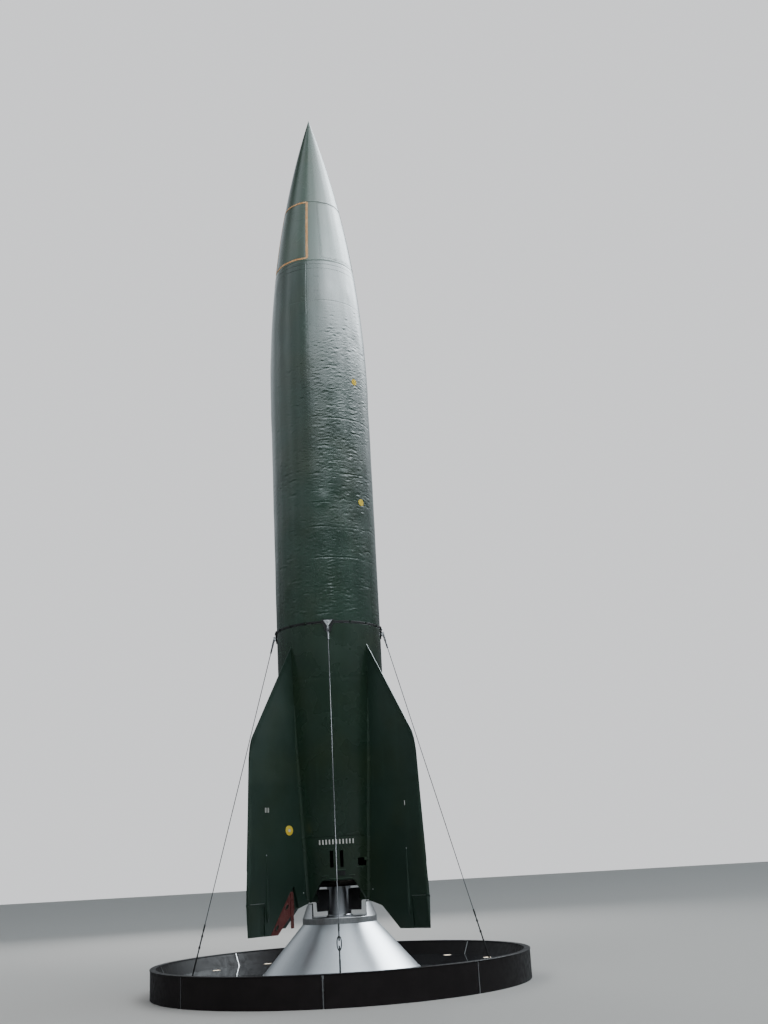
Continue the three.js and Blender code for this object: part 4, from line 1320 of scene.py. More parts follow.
FAIRING_RADIUS = 1.447
FAIRING_SECTIONS = [
    # height over the foot, half width along the radius, half thickness
    (1.170, 0.004, 0.024),
    (1.060, 0.009, 0.041),
    (0.900, 0.015, 0.049),
    (0.650, 0.023, 0.056),
    (0.420, 0.029, 0.063),
    (0.290, 0.030, 0.066),
    (0.215, 0.023, 0.056),
    (0.180, 0.008, 0.044),
]


def fairing_form():
    table = np.array(FAIRING_SECTIONS[::-1])
    heights = np.linspace(table[0, 0], table[-1, 0], 40)
    wide, thick = (smoothed(np.interp(heights, table[:, 0], column), 4) for column in table[:, 1:].T)
    turns = circle(32)
    return loft([
        [(FAIRING_RADIUS + w * math.cos(t), h * math.sin(t), FOOT + z) for t in turns]
        for z, w, h in zip(heights, wide, thick)
    ])


# The shroud's inner and outer face from the fin's middle, and its lower and upper end.
SHROUD_NEAR = 0.031
SHROUD_FAR = 0.0345
SHROUD_LOW = FOOT + 0.404
SHROUD_HIGH = FOOT + 0.440


def shroud_form():
    """Thin lips on both faces of a fin that hang over the rudder's nose."""
    low = (RUDDER_INNER - 0.004, SHROUD_NEAR, SHROUD_LOW)
    high = (RUDDER_OUTER - 0.002, SHROUD_FAR, SHROUD_HIGH)
    return merged(*(face_block(face, low, high, 0.001) for face in (-1, 1)))


def shroud_edges():
    """Thin strips in the light trim metal along the upper edges of the shroud's lips."""
    low = (RUDDER_INNER, SHROUD_NEAR, SHROUD_HIGH - 0.004)
    high = (RUDDER_OUTER - 0.020, SHROUD_FAR + 0.0008, SHROUD_HIGH + 0.0005)
    return merged(*(face_block(face, low, high, 0.0004) for face in (-1, 1)))


def add_fins():
    core = lathe([(skin(z) - SKIRT_WALL / 2, z) for z in np.linspace(FOOT - 0.2, SKIRT_TOP + 0.1, 14)], 96)
    under = prism(standing([*FIN_LOWER_EDGE, (1.240, -0.5), (0.500, -0.5)]), -0.3, 0.3)
    notch = block((NOTCH_RADIUS, -0.3, FOOT - 0.3), (2.2, 0.3, NOTCH_TOP), 0.001)
    whole = carved(fin_form(), core, under, notch)
    opened = carved(whole, prism(standing(OPEN_BAY), OPEN_BAY_FLOOR, 0.3))
    fairing = fairing_form()
    for number, angle in FIN_ANGLES.items():
        fin = (opened if number == 4 else whole).placed(spoke(angle))
        piece(f"fin_{number}_skin", fin, SHADED_FIN_PAINT, stands_for=f"fin_{number}", crease=28)
        name = f"drive_fairing_{number}"
        piece(f"{name}_cover", fairing.placed(spoke(angle)), SHADED_FIN_PAINT, stands_for=name)
    piece("fin_root_fillets", around(fillet_form(), FIN_ANGLES.values()), SHADED_TAIL_PAINT, crease=50)
    piece("rudder_shrouds", around(shroud_form(), FIN_ANGLES.values()), SHADED_FIN_PAINT)
    piece("rudder_shroud_edges", around(shroud_edges(), FIN_ANGLES.values()), TRIM_METAL)


RIB_NEAR = OPEN_BAY_FLOOR + CLEAR
RIB_OUTLINE = [(0.944, 0.560), (0.995, 0.560), (1.374, 0.004), (1.246, 0.004), (0.925, 0.322)]
RIB_HOLES = ((1.060, 0.365), (1.258, 0.100))
RIB_HOLE_WIDE = 0.024
RIB_HOLE_LONG = 0.040
RIB_LEAN = 0.6
# How far each ring of a hole's flange lies outside the hole, and its depth.
FLANGE_RINGS = ((0.001, 0.002), (0.012, 0.002), (0.008, 0.009), (0.001, 0.012))
RIB_LIP = 0.006


def oval(centre, grow=0.0):
    """Points round a hole of the rib, a leaning oval about a centre of (x, height over the foot)."""
    points = []
    for turn in circle(28):
        x = (RIB_HOLE_WIDE + grow) * math.cos(turn)
        z = (RIB_HOLE_LONG + grow) * math.sin(turn)
        across = centre[0] + x * math.cos(RIB_LEAN) - z * math.sin(RIB_LEAN)
        points.append((across, FOOT + centre[1] + x * math.sin(RIB_LEAN) + z * math.cos(RIB_LEAN)))
    return points


def add_rib():
    edge = standing(RIB_OUTLINE)
    holes = [prism(oval(hole), -0.1, 0.2) for hole in RIB_HOLES]
    plate = carved(prism(edge, RIB_NEAR, RIB_NEAR + 0.004), *holes)
    flanges = []
    for hole in RIB_HOLES:
        rings = [[(x, RIB_NEAR + depth, z) for x, z in oval(hole, grow)] for grow, depth in FLANGE_RINGS]
        flanges.append(loft(rings, closed=True))
    lips = []
    for (x0, z0), (x1, z1) in zip(edge, edge[1:] + edge[:1]):
        lips.append(rod((x0, RIB_NEAR + RIB_LIP, z0), (x1, RIB_NEAR + RIB_LIP, z1), RIB_LIP, 10))
    strip = block((0.940, RIB_NEAR, FOOT + 0.070), (0.996, RIB_NEAR + 0.016, FOOT + 0.555), 0.004)
    ribs = []
    for z in FOOT + np.arange(0.11, 0.54, 0.07):
        ribs.append(block((0.942, RIB_NEAR + 0.014, z), (0.994, RIB_NEAR + 0.020, z + 0.012), 0.002))
    form = merged(plate, *flanges, *lips, strip, *ribs).placed(spoke(FIN_ANGLES[4]))
    piece("open_bay_rib", form, SHADED_PRIMER, stands_for="fin_4_rib")


def rudder_half(share):
    """Half the rudder's thickness at a share of the way from the hinge line down to the lower edge."""
    return between(RUDDER_NOSE, RUDDER_TAIL, share)


def rudder_form():
    """The blade: a round nose about the hinge line, tapering to a thin lower edge, with straps and a pin."""
    turns = np.linspace(0, math.pi, 18)
    nose = [(RUDDER_NOSE * math.cos(t), RUDDER_AXIS + RUDDER_NOSE * math.sin(t)) for t in turns]
    drop = RUDDER_AXIS - FOOT - 0.003
    fall = [(rudder_half(share), RUDDER_AXIS - drop * share) for share in np.linspace(0, 1, 14)[1:]]
    outline = nose + [(-half, z) for half, z in fall] + [(0, FOOT)] + fall[::-1]
    rings = []
    inner = np.linspace(RUDDER_INNER + 0.02, RUDDER_OUTER - 0.02, 10)
    for x in (RUDDER_INNER, RUDDER_INNER + 0.004, *inner, RUDDER_OUTER - 0.004, RUDDER_OUTER):
        slim = 0.9 if min(x - RUDDER_INNER, RUDDER_OUTER - x) < 0.001 else 1.0
        rings.append([(x, y * slim, z) for y, z in outline])
    pin = rod((PIN_END, 0, RUDDER_AXIS), (RUDDER_INNER + 0.02, 0, RUDDER_AXIS), PIN_RADIUS, 20)
    places = (RUDDER_INNER + STRAP_INSET, RUDDER_OUTER - STRAP_INSET)
    straps = [strap_form(x, face) for x in places for face in (-1, 1)]
    return merged(loft(rings), pin, *straps)


def strap_form(x, face):
    """A flat strap that runs down one face of the rudder and narrows."""
    top = RUDDER_AXIS - 0.012
    outline = [
        (x - STRAP_TOP_HALF, top),
        (x + STRAP_TOP_HALF, top),
        (x + STRAP_FOOT_HALF, STRAP_FOOT),
        (x - STRAP_FOOT_HALF, STRAP_FOOT),
    ]
    rings = []
    for lift in (-0.004, STRAP_PROUD):
        ring = []
        for along, z in outline:
            half = rudder_half(max((RUDDER_AXIS - z) / (RUDDER_AXIS - FOOT), 0))
            ring.append((along, face * (half + lift), z))
        rings.append(ring)
    return loft(rings)


def add_moving(start, end, form, body, finish):
    """A form at each fin, on its own body. start begins the names, and end is the piece's last word."""
    for number, angle in FIN_ANGLES.items():
        node = f"{start}_{number}"
        piece(f"{node}_{end}", form.placed(spoke(angle)), finish, body=f"{body}_{number}", stands_for=node)


# Heights over the foot along the vane's chord, from its lower edge up, and half its thickness at each.
VANE_CHORD = (
    (0.260, 0.003),
    (0.266, 0.005),
    (0.300, 0.010),
    (0.350, 0.0145),
    (0.430, 0.015),
    (0.500, 0.0145),
    (0.535, 0.011),
    (0.554, 0.006),
    (0.560, 0.003),
)
# Radii of the vane's sections, and the share of the full thickness at each.
VANE_SPAN = (
    (0.205, 0.55),
    (0.212, 0.85),
    (0.230, 1.0),
    (0.300, 1.0),
    (0.380, 1.0),
    (0.440, 1.0),
    (0.455, 0.97),
)
VANE_FLANGE = 0.044
VANE_SHAFT = 0.020
VANE_BOLT_CIRCLE = 0.034


def vane_form():
    """A graphite blade with thinned edges on a flanged and bolted shaft."""
    left = [(-half, FOOT + z) for z, half in VANE_CHORD]
    right = [(half, FOOT + z) for z, half in VANE_CHORD[::-1]]
    rings = []
    for x, shrink in VANE_SPAN:
        tall = 0.965 + 0.035 * shrink
        rings.append([(x, y * shrink, VANE_AXIS + (z - VANE_AXIS) * tall) for y, z in left + right])
    flange = rod((0.438, 0, VANE_AXIS), (0.466, 0, VANE_AXIS), VANE_FLANGE, 40, 0.003)
    shaft = rod((0.450, 0, VANE_AXIS), (0.540, 0, VANE_AXIS), VANE_SHAFT, 32)
    bolts = []
    for turn in np.radians(range(30, 390, 60)):
        y = VANE_BOLT_CIRCLE * math.cos(turn)
        z = VANE_AXIS + VANE_BOLT_CIRCLE * math.sin(turn)
        bolts.append(rod((0.4385, y, z), (0.4325, y, z), 0.005, 6, 0.0008))
    return merged(loft(rings), flange, shaft, *bolts)


# Stays

PLINTH_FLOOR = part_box("plinth_base")[1].z
DECK_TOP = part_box("deck")[1].z
STAY_HIGH = (0.882, FOOT + 4.350)
STAY_FOOT_RADIUS = 2.196
ANCHOR_THICKNESS = 0.012
ANCHOR_TOP = DECK_TOP + CLEAR + ANCHOR_THICKNESS
ANCHOR_HALF = 0.075
ANCHOR_BOLT = 0.052
# Radii and heights of the boss over the anchor.
ANCHOR_BOSS = (
    (AXIS, 0.0),
    (0.034, 0.0),
    (0.034, 0.010),
    (0.026, 0.024),
    (0.024, 0.032),
    (0.018, 0.035),
    (AXIS, 0.035),
)
PLATE_FACE = 0.8403
PLATE_OUTLINE = ((-0.070, 0.022), (-0.012, -0.066), (0.012, -0.066), (0.070, 0.022))
# The turnbuckle's lower and upper end over the foot of the stay, and half its width.
EYE_LOW = 0.430
EYE_HIGH = 0.590
EYE_HALF = 0.030
# The inner and outer face of the fork that holds the wire's upper end.
CHEEK_NEAR = 0.0093
CHEEK_FAR = 0.0153
FORK_HALF = 0.015
# Radii of the stay's parts, and the threads' spacing.
STAY_ROD = 0.012
STAY_SCREW = 0.009
STAY_THREAD = 0.0105
STAY_BAR = 0.0075
STAY_WIRE = 0.0065
THREAD_PITCH = 0.008


def twisted_wire(low, high, radius, strands=6, pitch=0.13):
    """A stranded wire along +Z."""
    strand = radius * 0.42
    orbit = radius - strand
    forms = [tube([(0, 0, low), (0, 0, (low + high) / 2), (0, 0, high)], orbit, 8)]
    heights = np.arange(low, high, 0.012)
    for k in range(strands):
        turns = 2 * math.pi * (heights / pitch + k / strands)
        path = np.stack((orbit * np.cos(turns), orbit * np.sin(turns), heights), axis=-1)
        forms.append(tube(path, strand, 5))
    return merged(*forms)


def upright(low, high, radius, sides=16, chamfer=0.0015):
    """A round bar on the stay's own axis."""
    return rod((0, 0, low), (0, 0, high), radius, sides, chamfer)


def stay_form(length):
    """The lower and the upper part of a stay in its own frame: it rises from the origin along +Z."""
    bridge = length - 0.060
    half_path = [(0.010, EYE_LOW), (0.018, EYE_LOW + 0.004), (0.028, EYE_LOW + 0.045)]
    other_half = [(0.028, EYE_HIGH - 0.045), (0.018, EYE_HIGH - 0.004), (0.010, EYE_HIGH)]
    path = [*half_path, (EYE_HALF, (EYE_LOW + EYE_HIGH) / 2), *other_half]
    frame_bars = [tube([(0, side * y, z) for y, z in path], STAY_BAR, 10) for side in (-1, 1)]
    collars = [upright(z - 0.014, z + 0.014, 0.017, 6) for z in (EYE_LOW, EYE_HIGH)]
    ends = ((EYE_LOW - 0.15, EYE_LOW + 0.05), (EYE_HIGH - 0.05, EYE_HIGH + 0.09))
    screws = [upright(low, high, STAY_SCREW) for low, high in ends]
    rows = np.arange(EYE_LOW - 0.12, EYE_LOW + 0.045, THREAD_PITCH)
    threads = [upright(z, z + THREAD_PITCH / 2, STAY_THREAD, 12, 0.001) for z in rows]
    lower_rod = upright(0.0, EYE_LOW - 0.12, STAY_ROD, 20)
    sleeve = upright(EYE_HIGH + 0.07, EYE_HIGH + 0.17, STAY_ROD)
    lower = merged(*frame_bars, *collars, *screws, *threads, lower_rod, sleeve)

    wire = twisted_wire(EYE_HIGH + 0.15, bridge - 0.10, STAY_WIRE)
    terminal = upright(bridge - 0.130, bridge, 0.014, 20, 0.003)
    fork = [block((-FORK_HALF, -CHEEK_FAR, bridge - 0.014), (FORK_HALF, CHEEK_FAR, bridge), 0.002)]
    low = (-FORK_HALF, CHEEK_NEAR, bridge - 0.012)
    high = (FORK_HALF, CHEEK_FAR, length + 0.036)
    fork += [face_block(face, low, high, 0.002) for face in (-1, 1)]
    pin = rod((0, -0.021, length), (0, 0.021, length), 0.008, 16)
    return lower, merged(wire, terminal, *fork, pin)


def anchor_form():
    """The stay's foot: a bolted plate on the inner floor with a boss."""
    near = STAY_FOOT_RADIUS - ANCHOR_HALF
    far = STAY_FOOT_RADIUS + ANCHOR_HALF
    base = block((near, -ANCHOR_HALF, ANCHOR_TOP - ANCHOR_THICKNESS), (far, ANCHOR_HALF, ANCHOR_TOP), 0.003)
    seat = Matrix.Translation((STAY_FOOT_RADIUS - 0.006, 0, ANCHOR_TOP - 0.001))
    boss = lathe(ANCHOR_BOSS, 32).placed(seat)
    corners = [(x, y) for x in (-ANCHOR_BOLT, ANCHOR_BOLT) for y in (-ANCHOR_BOLT, ANCHOR_BOLT)]
    bolts = [bolt((STAY_FOOT_RADIUS + x, y, ANCHOR_TOP), (0, 0, 1), 0.020, 0.012) for x, y in corners]
    return merged(base, boss, *bolts)


def plate_form():
    """The plate on the belt that holds the stay's upper end, with its lug and bolts."""
    face = PLATE_FACE + 0.010
    outline = [(y, BELT + z) for y, z in PLATE_OUTLINE]
    rings = [[(x, y, z) for y, z in outline] for x in (PLATE_FACE, face - 0.002)]
    rings.append([(face, y * 0.96, BELT - 0.02 + (z - BELT + 0.02) * 0.97) for y, z in outline])
    lug = block((PLATE_FACE + 0.002, -0.009, BELT - 0.112), (PLATE_FACE + 0.048, 0.009, BELT - 0.040), 0.003)
    heads = [bolt((face, 0, BELT + 0.002), (1, 0, 0), 0.030, 0.012)]
    heads += [bolt((face, side * 0.048, BELT + 0.010), (1, 0, 0), 0.014, 0.006) for side in (-1, 1)]
    return merged(loft(rings), lug, *heads)


def add_stays():
    rise = STAY_HIGH[1] - ANCHOR_TOP
    run = STAY_FOOT_RADIUS - STAY_HIGH[0]
    lean = Matrix.Rotation(-math.atan2(run, rise), 4, "Y")
    tilt = Matrix.Translation((STAY_FOOT_RADIUS, 0, ANCHOR_TOP)) @ lean
    lower, upper = (form.placed(tilt) for form in stay_form(math.hypot(rise, run)))
    lower = merged(lower, anchor_form())
    plate = plate_form()
    for number, angle in SIDE_ANGLES.items():
        turn = spoke(angle)
        piece(f"stay_{number}_wire", upper.placed(turn), STAY_STEEL, stands_for=f"stay_{number}")
        piece(f"stay_{number}_turnbuckle", lower.placed(turn), BLACK)
        name = f"stay_plate_{number}"
        piece(f"{name}_face", plate.placed(turn), TRIM_METAL, stands_for=name)


# Stand

CONE_FOOT = 1.160
CONE_TOP_RADIUS = 0.550
CONE_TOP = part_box("stand_cone")[1].z
COLLAR_RADIUS = 0.552
COLLAR_TOP = 0.960
CROWN_TOP_RADIUS = 0.472
CROWN_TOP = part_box("stand_collar")[1].z
CROWN_WALL = 0.012
CROWN_WINDOW = 0.400
POST_RADIUS = 0.177
POST_NECK = FOOT + 0.770


def crown_ring(outer, inner):
    """A leaning ring between two depths under the crown's outer face."""
    low = COLLAR_TOP - 0.004
    profile = [
        (COLLAR_RADIUS - outer, low),
        (CROWN_TOP_RADIUS + 0.001 - outer, CROWN_TOP),
        (CROWN_TOP_RADIUS + 0.001 - inner, CROWN_TOP),
        (COLLAR_RADIUS - inner, low),
    ]
    return lathe(profile, 160, closed=True)


def cone_radius(share):
    """The cone's radius at a share of the way up."""
    return between(CONE_FOOT - 0.012, CONE_TOP_RADIUS, share)


def add_cone():
    low = PLINTH_FLOOR + CLEAR
    profile = [(AXIS, low), (CONE_FOOT, low), (CONE_FOOT, low + 0.010), (CONE_FOOT - 0.014, low + 0.012)]
    for share in np.linspace(0.02, 1, 24):
        profile.append((cone_radius(share), between(low + 0.012, CONE_TOP, share)))
    profile.append((AXIS, CONE_TOP))
    seams = []
    for angle in (-90, 90):
        path = []
        for share in (0, 0.5, 1):
            path.append(polar(cone_radius(share), angle, between(low + 0.014, CONE_TOP - 0.002, share)))
        seams.append(tube(path, 0.0018, 6))
    piece("stand_cone_skin", merged(lathe(profile, 192), *seams), CONE_STEEL, stands_for="stand_cone")


def add_collar():
    """The disc on the cone with its ring of screws, and the crown with two wide windows over it, its inner
    face near-black to paint in the shade inside it.
    """
    low = CONE_TOP + CLEAR
    profile = [
        (AXIS, low),
        (COLLAR_RADIUS - 0.003, low),
        (COLLAR_RADIUS, low + 0.003),
        (COLLAR_RADIUS, COLLAR_TOP - 0.004),
        (COLLAR_RADIUS - 0.004, COLLAR_TOP),
        (AXIS, COLLAR_TOP),
    ]
    opening = block((-CROWN_WINDOW, -THROUGH, COLLAR_TOP), (CROWN_WINDOW, THROUGH, CROWN_TOP + 0.2), 0.001)
    crown = carved(crown_ring(0.001, 0.007), opening)
    # The crown's inner face is a near-black layer that paints in the shade inside the crown.
    inner_shade = carved(crown_ring(0.0072, CROWN_WALL), opening)
    piece("stand_crown_inner_shade", inner_shade, RECESS, stands_for="stand_collar")
    heads = []
    for angle in np.arange(7.5, 360, 15):
        place = polar(COLLAR_RADIUS - 0.0005, angle, (CONE_TOP + COLLAR_TOP) / 2)
        heads.append(rod(place, place + polar(0.004, angle, 0), 0.009, 10, 0.001))
    piece("stand_crown", merged(lathe(profile, 160), crown, *heads), TRIM_METAL, stands_for="stand_collar")


def add_post():
    """The post, with a foot on the collar and a head that seats in the bell."""
    low = COLLAR_TOP + CLEAR
    low_seat, high_seat = ((radius - CLEAR, FOOT + z) for radius, z in BELL[2:4])
    profile = [
        (AXIS, low),
        (POST_RADIUS + 0.020, low),
        (POST_RADIUS + 0.020, low + 0.018),
        (POST_RADIUS + 0.004, low + 0.024),
        (POST_RADIUS, low + 0.030),
    ]
    profile += [(POST_RADIUS, z) for z in np.linspace(low + 0.05, POST_NECK - 0.02, 8)]
    profile += [(POST_RADIUS + 0.004, POST_NECK), low_seat, high_seat, (AXIS, high_seat[1])]
    piece("stand_post_skin", lathe(profile, 96), CONE_STEEL, stands_for="stand_post")


# Plinth

PLINTH_TURN = -4.5
PANELS = 8
RIM_OUTER = 2.772
RIM_INNER_TOP = 2.690
RIM_INNER_FOOT = 2.600
RIM_TOP = 0.390
RIM_JOINT = 0.0133
STRIP_HALF = 0.0055
PLINTH_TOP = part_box("rim_trim")[1].z
PANEL_STEP = 360 / PANELS
PANEL_ANGLES = [PLINTH_TURN + PANEL_STEP * i for i in range(PANELS)]
RIM_CHAMFER = 0.003
RIM_BASE = 2.7403
CAP_INNER = 2.686
CAP_OUTER = 2.779
BASE_RADIUS = 2.739


def tray(inner, outer, low, top, chamfer):
    """The profile of a flat ring with chamfered upper edges."""
    return [
        (inner, low),
        (outer, low),
        (outer, top - chamfer),
        (outer - chamfer, top),
        (inner + chamfer, top),
        (inner, top - chamfer),
    ]


def ring_section(profile, start, stop, count):
    """A profile of (radius, height) swept from one angle to another, with closed ends."""
    angles = np.linspace(start, stop, count)
    return loft([[polar(radius, angle, height) for radius, height in profile] for angle in angles])


def add_rim():
    panel_foot = PLINTH_FLOOR + CLEAR
    panel = [
        (RIM_OUTER - RIM_CHAMFER, 0.0),
        (RIM_OUTER, RIM_CHAMFER),
        (RIM_OUTER, RIM_TOP - RIM_CHAMFER),
        (RIM_OUTER - RIM_CHAMFER, RIM_TOP),
        (RIM_INNER_TOP + RIM_CHAMFER, RIM_TOP),
        (RIM_INNER_TOP - 0.002, RIM_TOP - RIM_CHAMFER),
        (RIM_INNER_FOOT, panel_foot),
        (RIM_BASE, panel_foot),
        (RIM_BASE, 0.0),
    ]
    trim = math.degrees(RIM_JOINT / RIM_OUTER)
    for number, angle in enumerate(PANEL_ANGLES, start=1):
        start = angle + trim
        form = ring_section(panel, start, start + PANEL_STEP - 2 * trim, 25)
        name = f"rim_panel_{number}"
        piece(f"{name}_face", form, CHARCOAL, stands_for=name)

    cap = tray(CAP_INNER, CAP_OUTER, RIM_TOP + CLEAR, PLINTH_TOP, RIM_CHAMFER)
    piece("rim_cap", lathe(cap, 192, closed=True), CHARCOAL, stands_for="rim_trim")
    joint = [
        (RIM_OUTER + 0.001, 0.006),
        (RIM_OUTER + 0.001, RIM_TOP + 0.002),
        (RIM_INNER_TOP - 0.001, RIM_TOP + 0.002),
        (RIM_INNER_FOOT - 0.001, PLINTH_FLOOR + 0.004),
        (RIM_INNER_FOOT + 0.01, PLINTH_FLOOR + 0.0013),
        (RIM_BASE + 0.001, PLINTH_FLOOR + 0.0013),
        (RIM_BASE + 0.001, 0.006),
    ]
    strips = around(prism(joint, -STRIP_HALF, STRIP_HALF), PANEL_ANGLES)
    piece("rim_joint_strips", strips, TRIM_METAL, stands_for="rim_trim")


def add_base():
    """The plinth's body inside the rim."""
    profile = [
        (AXIS, 0.0),
        (BASE_RADIUS - 0.009, 0.0),
        (BASE_RADIUS, 0.010),
        (BASE_RADIUS, PLINTH_FLOOR - 0.004),
        (BASE_RADIUS - 0.004, PLINTH_FLOOR),
        (AXIS, PLINTH_FLOOR),
    ]
    piece("plinth_body", lathe(profile, 128), CHARCOAL, stands_for="plinth_base")


DECK_INNER = 1.166
DECK_OUTER = 2.597
DECK_CHAMFER = 0.0015
DECK_GAP = 0.0012
LAMP_COUNT = 14
LAMP_RADIUS = 2.36
LAMP_START = -213
LAMP_STEP = 360 / LAMP_COUNT
LAMP_SIZE = 0.075
BEZEL = 0.014


def add_deck():
    """The polished inner floor: one sheet per panel, with fine gaps."""
    profile = tray(DECK_INNER, DECK_OUTER, PLINTH_FLOOR + CLEAR, DECK_TOP, DECK_CHAMFER)
    trim = math.degrees(DECK_GAP / DECK_OUTER)
    sheets = []
    for angle in PANEL_ANGLES:
        start = angle + PANEL_STEP / 2
        sheets.append(ring_section(profile, start + trim, start + PANEL_STEP - trim, 24))
    piece("deck_sheets", merged(*sheets), FLOOR_SHEET, stands_for="deck")


def add_uplights():
    """Flush lamps in the inner floor: a bezel and a low round lens each."""
    ring = [
        (LAMP_SIZE - BEZEL, -0.002),
        (LAMP_SIZE, -0.002),
        (LAMP_SIZE, 0.002),
        (LAMP_SIZE - 0.004, 0.004),
        (LAMP_SIZE - 0.012, 0.004),
        (LAMP_SIZE - BEZEL, 0.002),
    ]
    glass = [
        (AXIS, -0.002),
        (LAMP_SIZE - 0.013, -0.002),
        (LAMP_SIZE - 0.013, 0.0015),
        (LAMP_SIZE - 0.030, 0.0030),
        (AXIS, 0.0036),
    ]
    bezel = lathe(ring, 40, closed=True)
    lens = lathe(glass, 40)
    places = []
    for number in range(LAMP_COUNT):
        places.append(Matrix.Translation(polar(LAMP_RADIUS, LAMP_START + LAMP_STEP * number, DECK_TOP)))
    piece("lamp_bezels", merged(*(bezel.placed(place) for place in places)), STAY_STEEL)
    piece("lamp_lenses", merged(*(lens.placed(place) for place in places)), LAMP)


# Markings: plain discs and strokes

# Angle, height and size of the discs on the body.
BODY_DISCS = ((-44.4, FOOT + 8.53, 0.056), (-42.6, FOOT + 6.44, 0.056))
DISC_LIFT = 0.004
DISC_SUNK = 0.003
# The disc on fin 4: its radius on the fin, its height over the foot, its size and its heart's.
FIN_DISC_RADIUS = 1.008
FIN_DISC_HEIGHT = 1.419
FIN_DISC_SIZE = 0.070
FIN_DISC_HEART = 0.022
# Radius, height over the foot and size of the heads on each fin: a bolt, and a small light stud at the drive
# fairing's apex that paints in the glint there.
FIN_BOLTS_AND_GLINT = ((0.760, 0.540, 0.014), (1.447, 1.085, 0.010))
# A fin's number, the face its strokes are on, and their radii.
FIN_STROKES = ((4, 1, (1.385, 1.415, 1.445)), (1, -1, (1.459,)))
STROKE_HEIGHT = 1.710
STROKE_TALL = 0.068
STROKE_WIDE = 0.011
# The row of strokes on the skirt.
ROW_ANGLES = np.linspace(-109.5, -70.5, 11)
ROW_HEIGHT = FOOT + 1.228
ROW_TALL = 0.066


def skin_disc(angle, height, size):
    """A thin round disc that follows the body's skin."""
    def layer(share, rise):
        ring = []
        for turn in circle(28):
            z = height + share * size * math.sin(turn)
            radius = skin(z) + rise
            ring.append(polar(radius, angle + math.degrees(share * size * math.cos(turn) / radius), z))
        return ring

    return loft([*(layer(share, DISC_LIFT) for share in np.linspace(0.02, 1, 5)), layer(1, -DISC_SUNK)])


def fin_stroke(radius, face):
    """A thin upright stroke on one face of a fin along +X."""
    surface = fin_surface(radius, STROKE_HEIGHT)
    foot = FOOT + STROKE_HEIGHT - STROKE_TALL / 2
    low = (radius - STROKE_WIDE / 2, surface - 0.003, foot)
    high = (radius + STROKE_WIDE / 2, surface + 0.0012, foot + STROKE_TALL)
    return face_block(face, low, high, 0.0006)


def fin_disc(size, lift):
    """A thin round disc on the front face of fin 4."""
    y = fin_surface(FIN_DISC_RADIUS, FIN_DISC_HEIGHT)
    z = FOOT + FIN_DISC_HEIGHT
    form = rod((FIN_DISC_RADIUS, y - 0.004, z), (FIN_DISC_RADIUS, y + lift, z), size, 36, 0.0008)
    return form.placed(spoke(FIN_ANGLES[4]))


def add_discs():
    discs = [skin_disc(*disc) for disc in BODY_DISCS]
    piece("yellow_discs", merged(*discs, fin_disc(FIN_DISC_SIZE, 0.0015)), YELLOW_MARK)
    piece("fin_disc_heart", fin_disc(FIN_DISC_HEART, 0.0028), WHITE_MARK)


def add_strokes():
    """Plain strokes where the object has figures and numerals."""
    strokes = []
    for number, face, radii in FIN_STROKES:
        for radius in radii:
            strokes.append(fin_stroke(radius, face).placed(spoke(FIN_ANGLES[number])))
    for angle in ROW_ANGLES:
        top = (angle, ROW_HEIGHT + ROW_TALL / 2)
        strokes.append(skin_strip(top, (angle, ROW_HEIGHT - ROW_TALL / 2), 0.020, 0.0025, 0.0010))
    piece("white_strokes", merged(*strokes), WHITE_MARK)


# Bolt heads on the fins, and a stud at each drive fairing's apex that paints in its glint.
def add_fin_bolts_and_glint():
    heads = []
    for radius, over_foot, size in FIN_BOLTS_AND_GLINT:
        for face in (-1, 1):
            y = face * (fin_surface(radius, over_foot) - 0.001)
            heads.append(bolt((radius, y, FOOT + over_foot), (0, face, 0), size, 0.006))
    piece("fin_bolts_and_glint", around(merged(*heads), FIN_ANGLES.values()), TRIM_METAL)


def add_all():
    add_nose()
    add_bay()
    add_door_seal()
    add_door_screws()
    add_tank_shells()
    add_shell_strips()
    add_belt()
    add_tail()
    add_skirt()
    add_skirt_frames()
    add_engine()
    add_fins()
    add_rib()
    add_moving("air_rudder", "skin", rudder_form(), "rudder", SHADED_FIN_PAINT)
    add_moving("jet_vane", "blade", vane_form(), "vane", GRAPHITE)
    add_stays()
    add_cone()
    add_collar()
    add_post()
    add_rim()
    add_base()
    add_deck()
    add_uplights()
    add_discs()
    add_strokes()
    add_fin_bolts_and_glint()


# Studio: floor, light and camera

CAMERA_PLACE = Vector((0.183, -18.076, 1.709))
CAMERA_YAW = 0.0448
CAMERA_PITCH = 0.296
CAMERA_ROLL = -0.0555
CAMERA_LENS = 40.19


def add_camera():
    data = bpy.data.cameras.new("camera")
    data.lens = CAMERA_LENS
    data.sensor_width = 36
    data.clip_end = 300
    camera = bpy.data.objects.new("camera", data)
    bpy.context.collection.objects.link(camera)
    yaw, pitch, roll = CAMERA_YAW, CAMERA_PITCH, CAMERA_ROLL
    forward = Vector((math.sin(yaw) * math.cos(pitch), math.cos(yaw) * math.cos(pitch), math.sin(pitch)))
    level = Vector((math.cos(yaw), -math.sin(yaw), 0))
    above = level.cross(forward)
    right = math.cos(roll) * level + math.sin(roll) * above
    up = -math.sin(roll) * level + math.cos(roll) * above
    turn = Matrix((right, up, -forward)).transposed()
    camera.matrix_world = Matrix.Translation(CAMERA_PLACE) @ turn.to_4x4()
    bpy.context.scene.camera = camera


# The floor's tone as seen, and in the reflections on dark paint.
FLOOR_TONE = (0.66, 0.65, 0.63, 1)
FLOOR_REFLECTED = (0.035, 0.035, 0.035, 1)


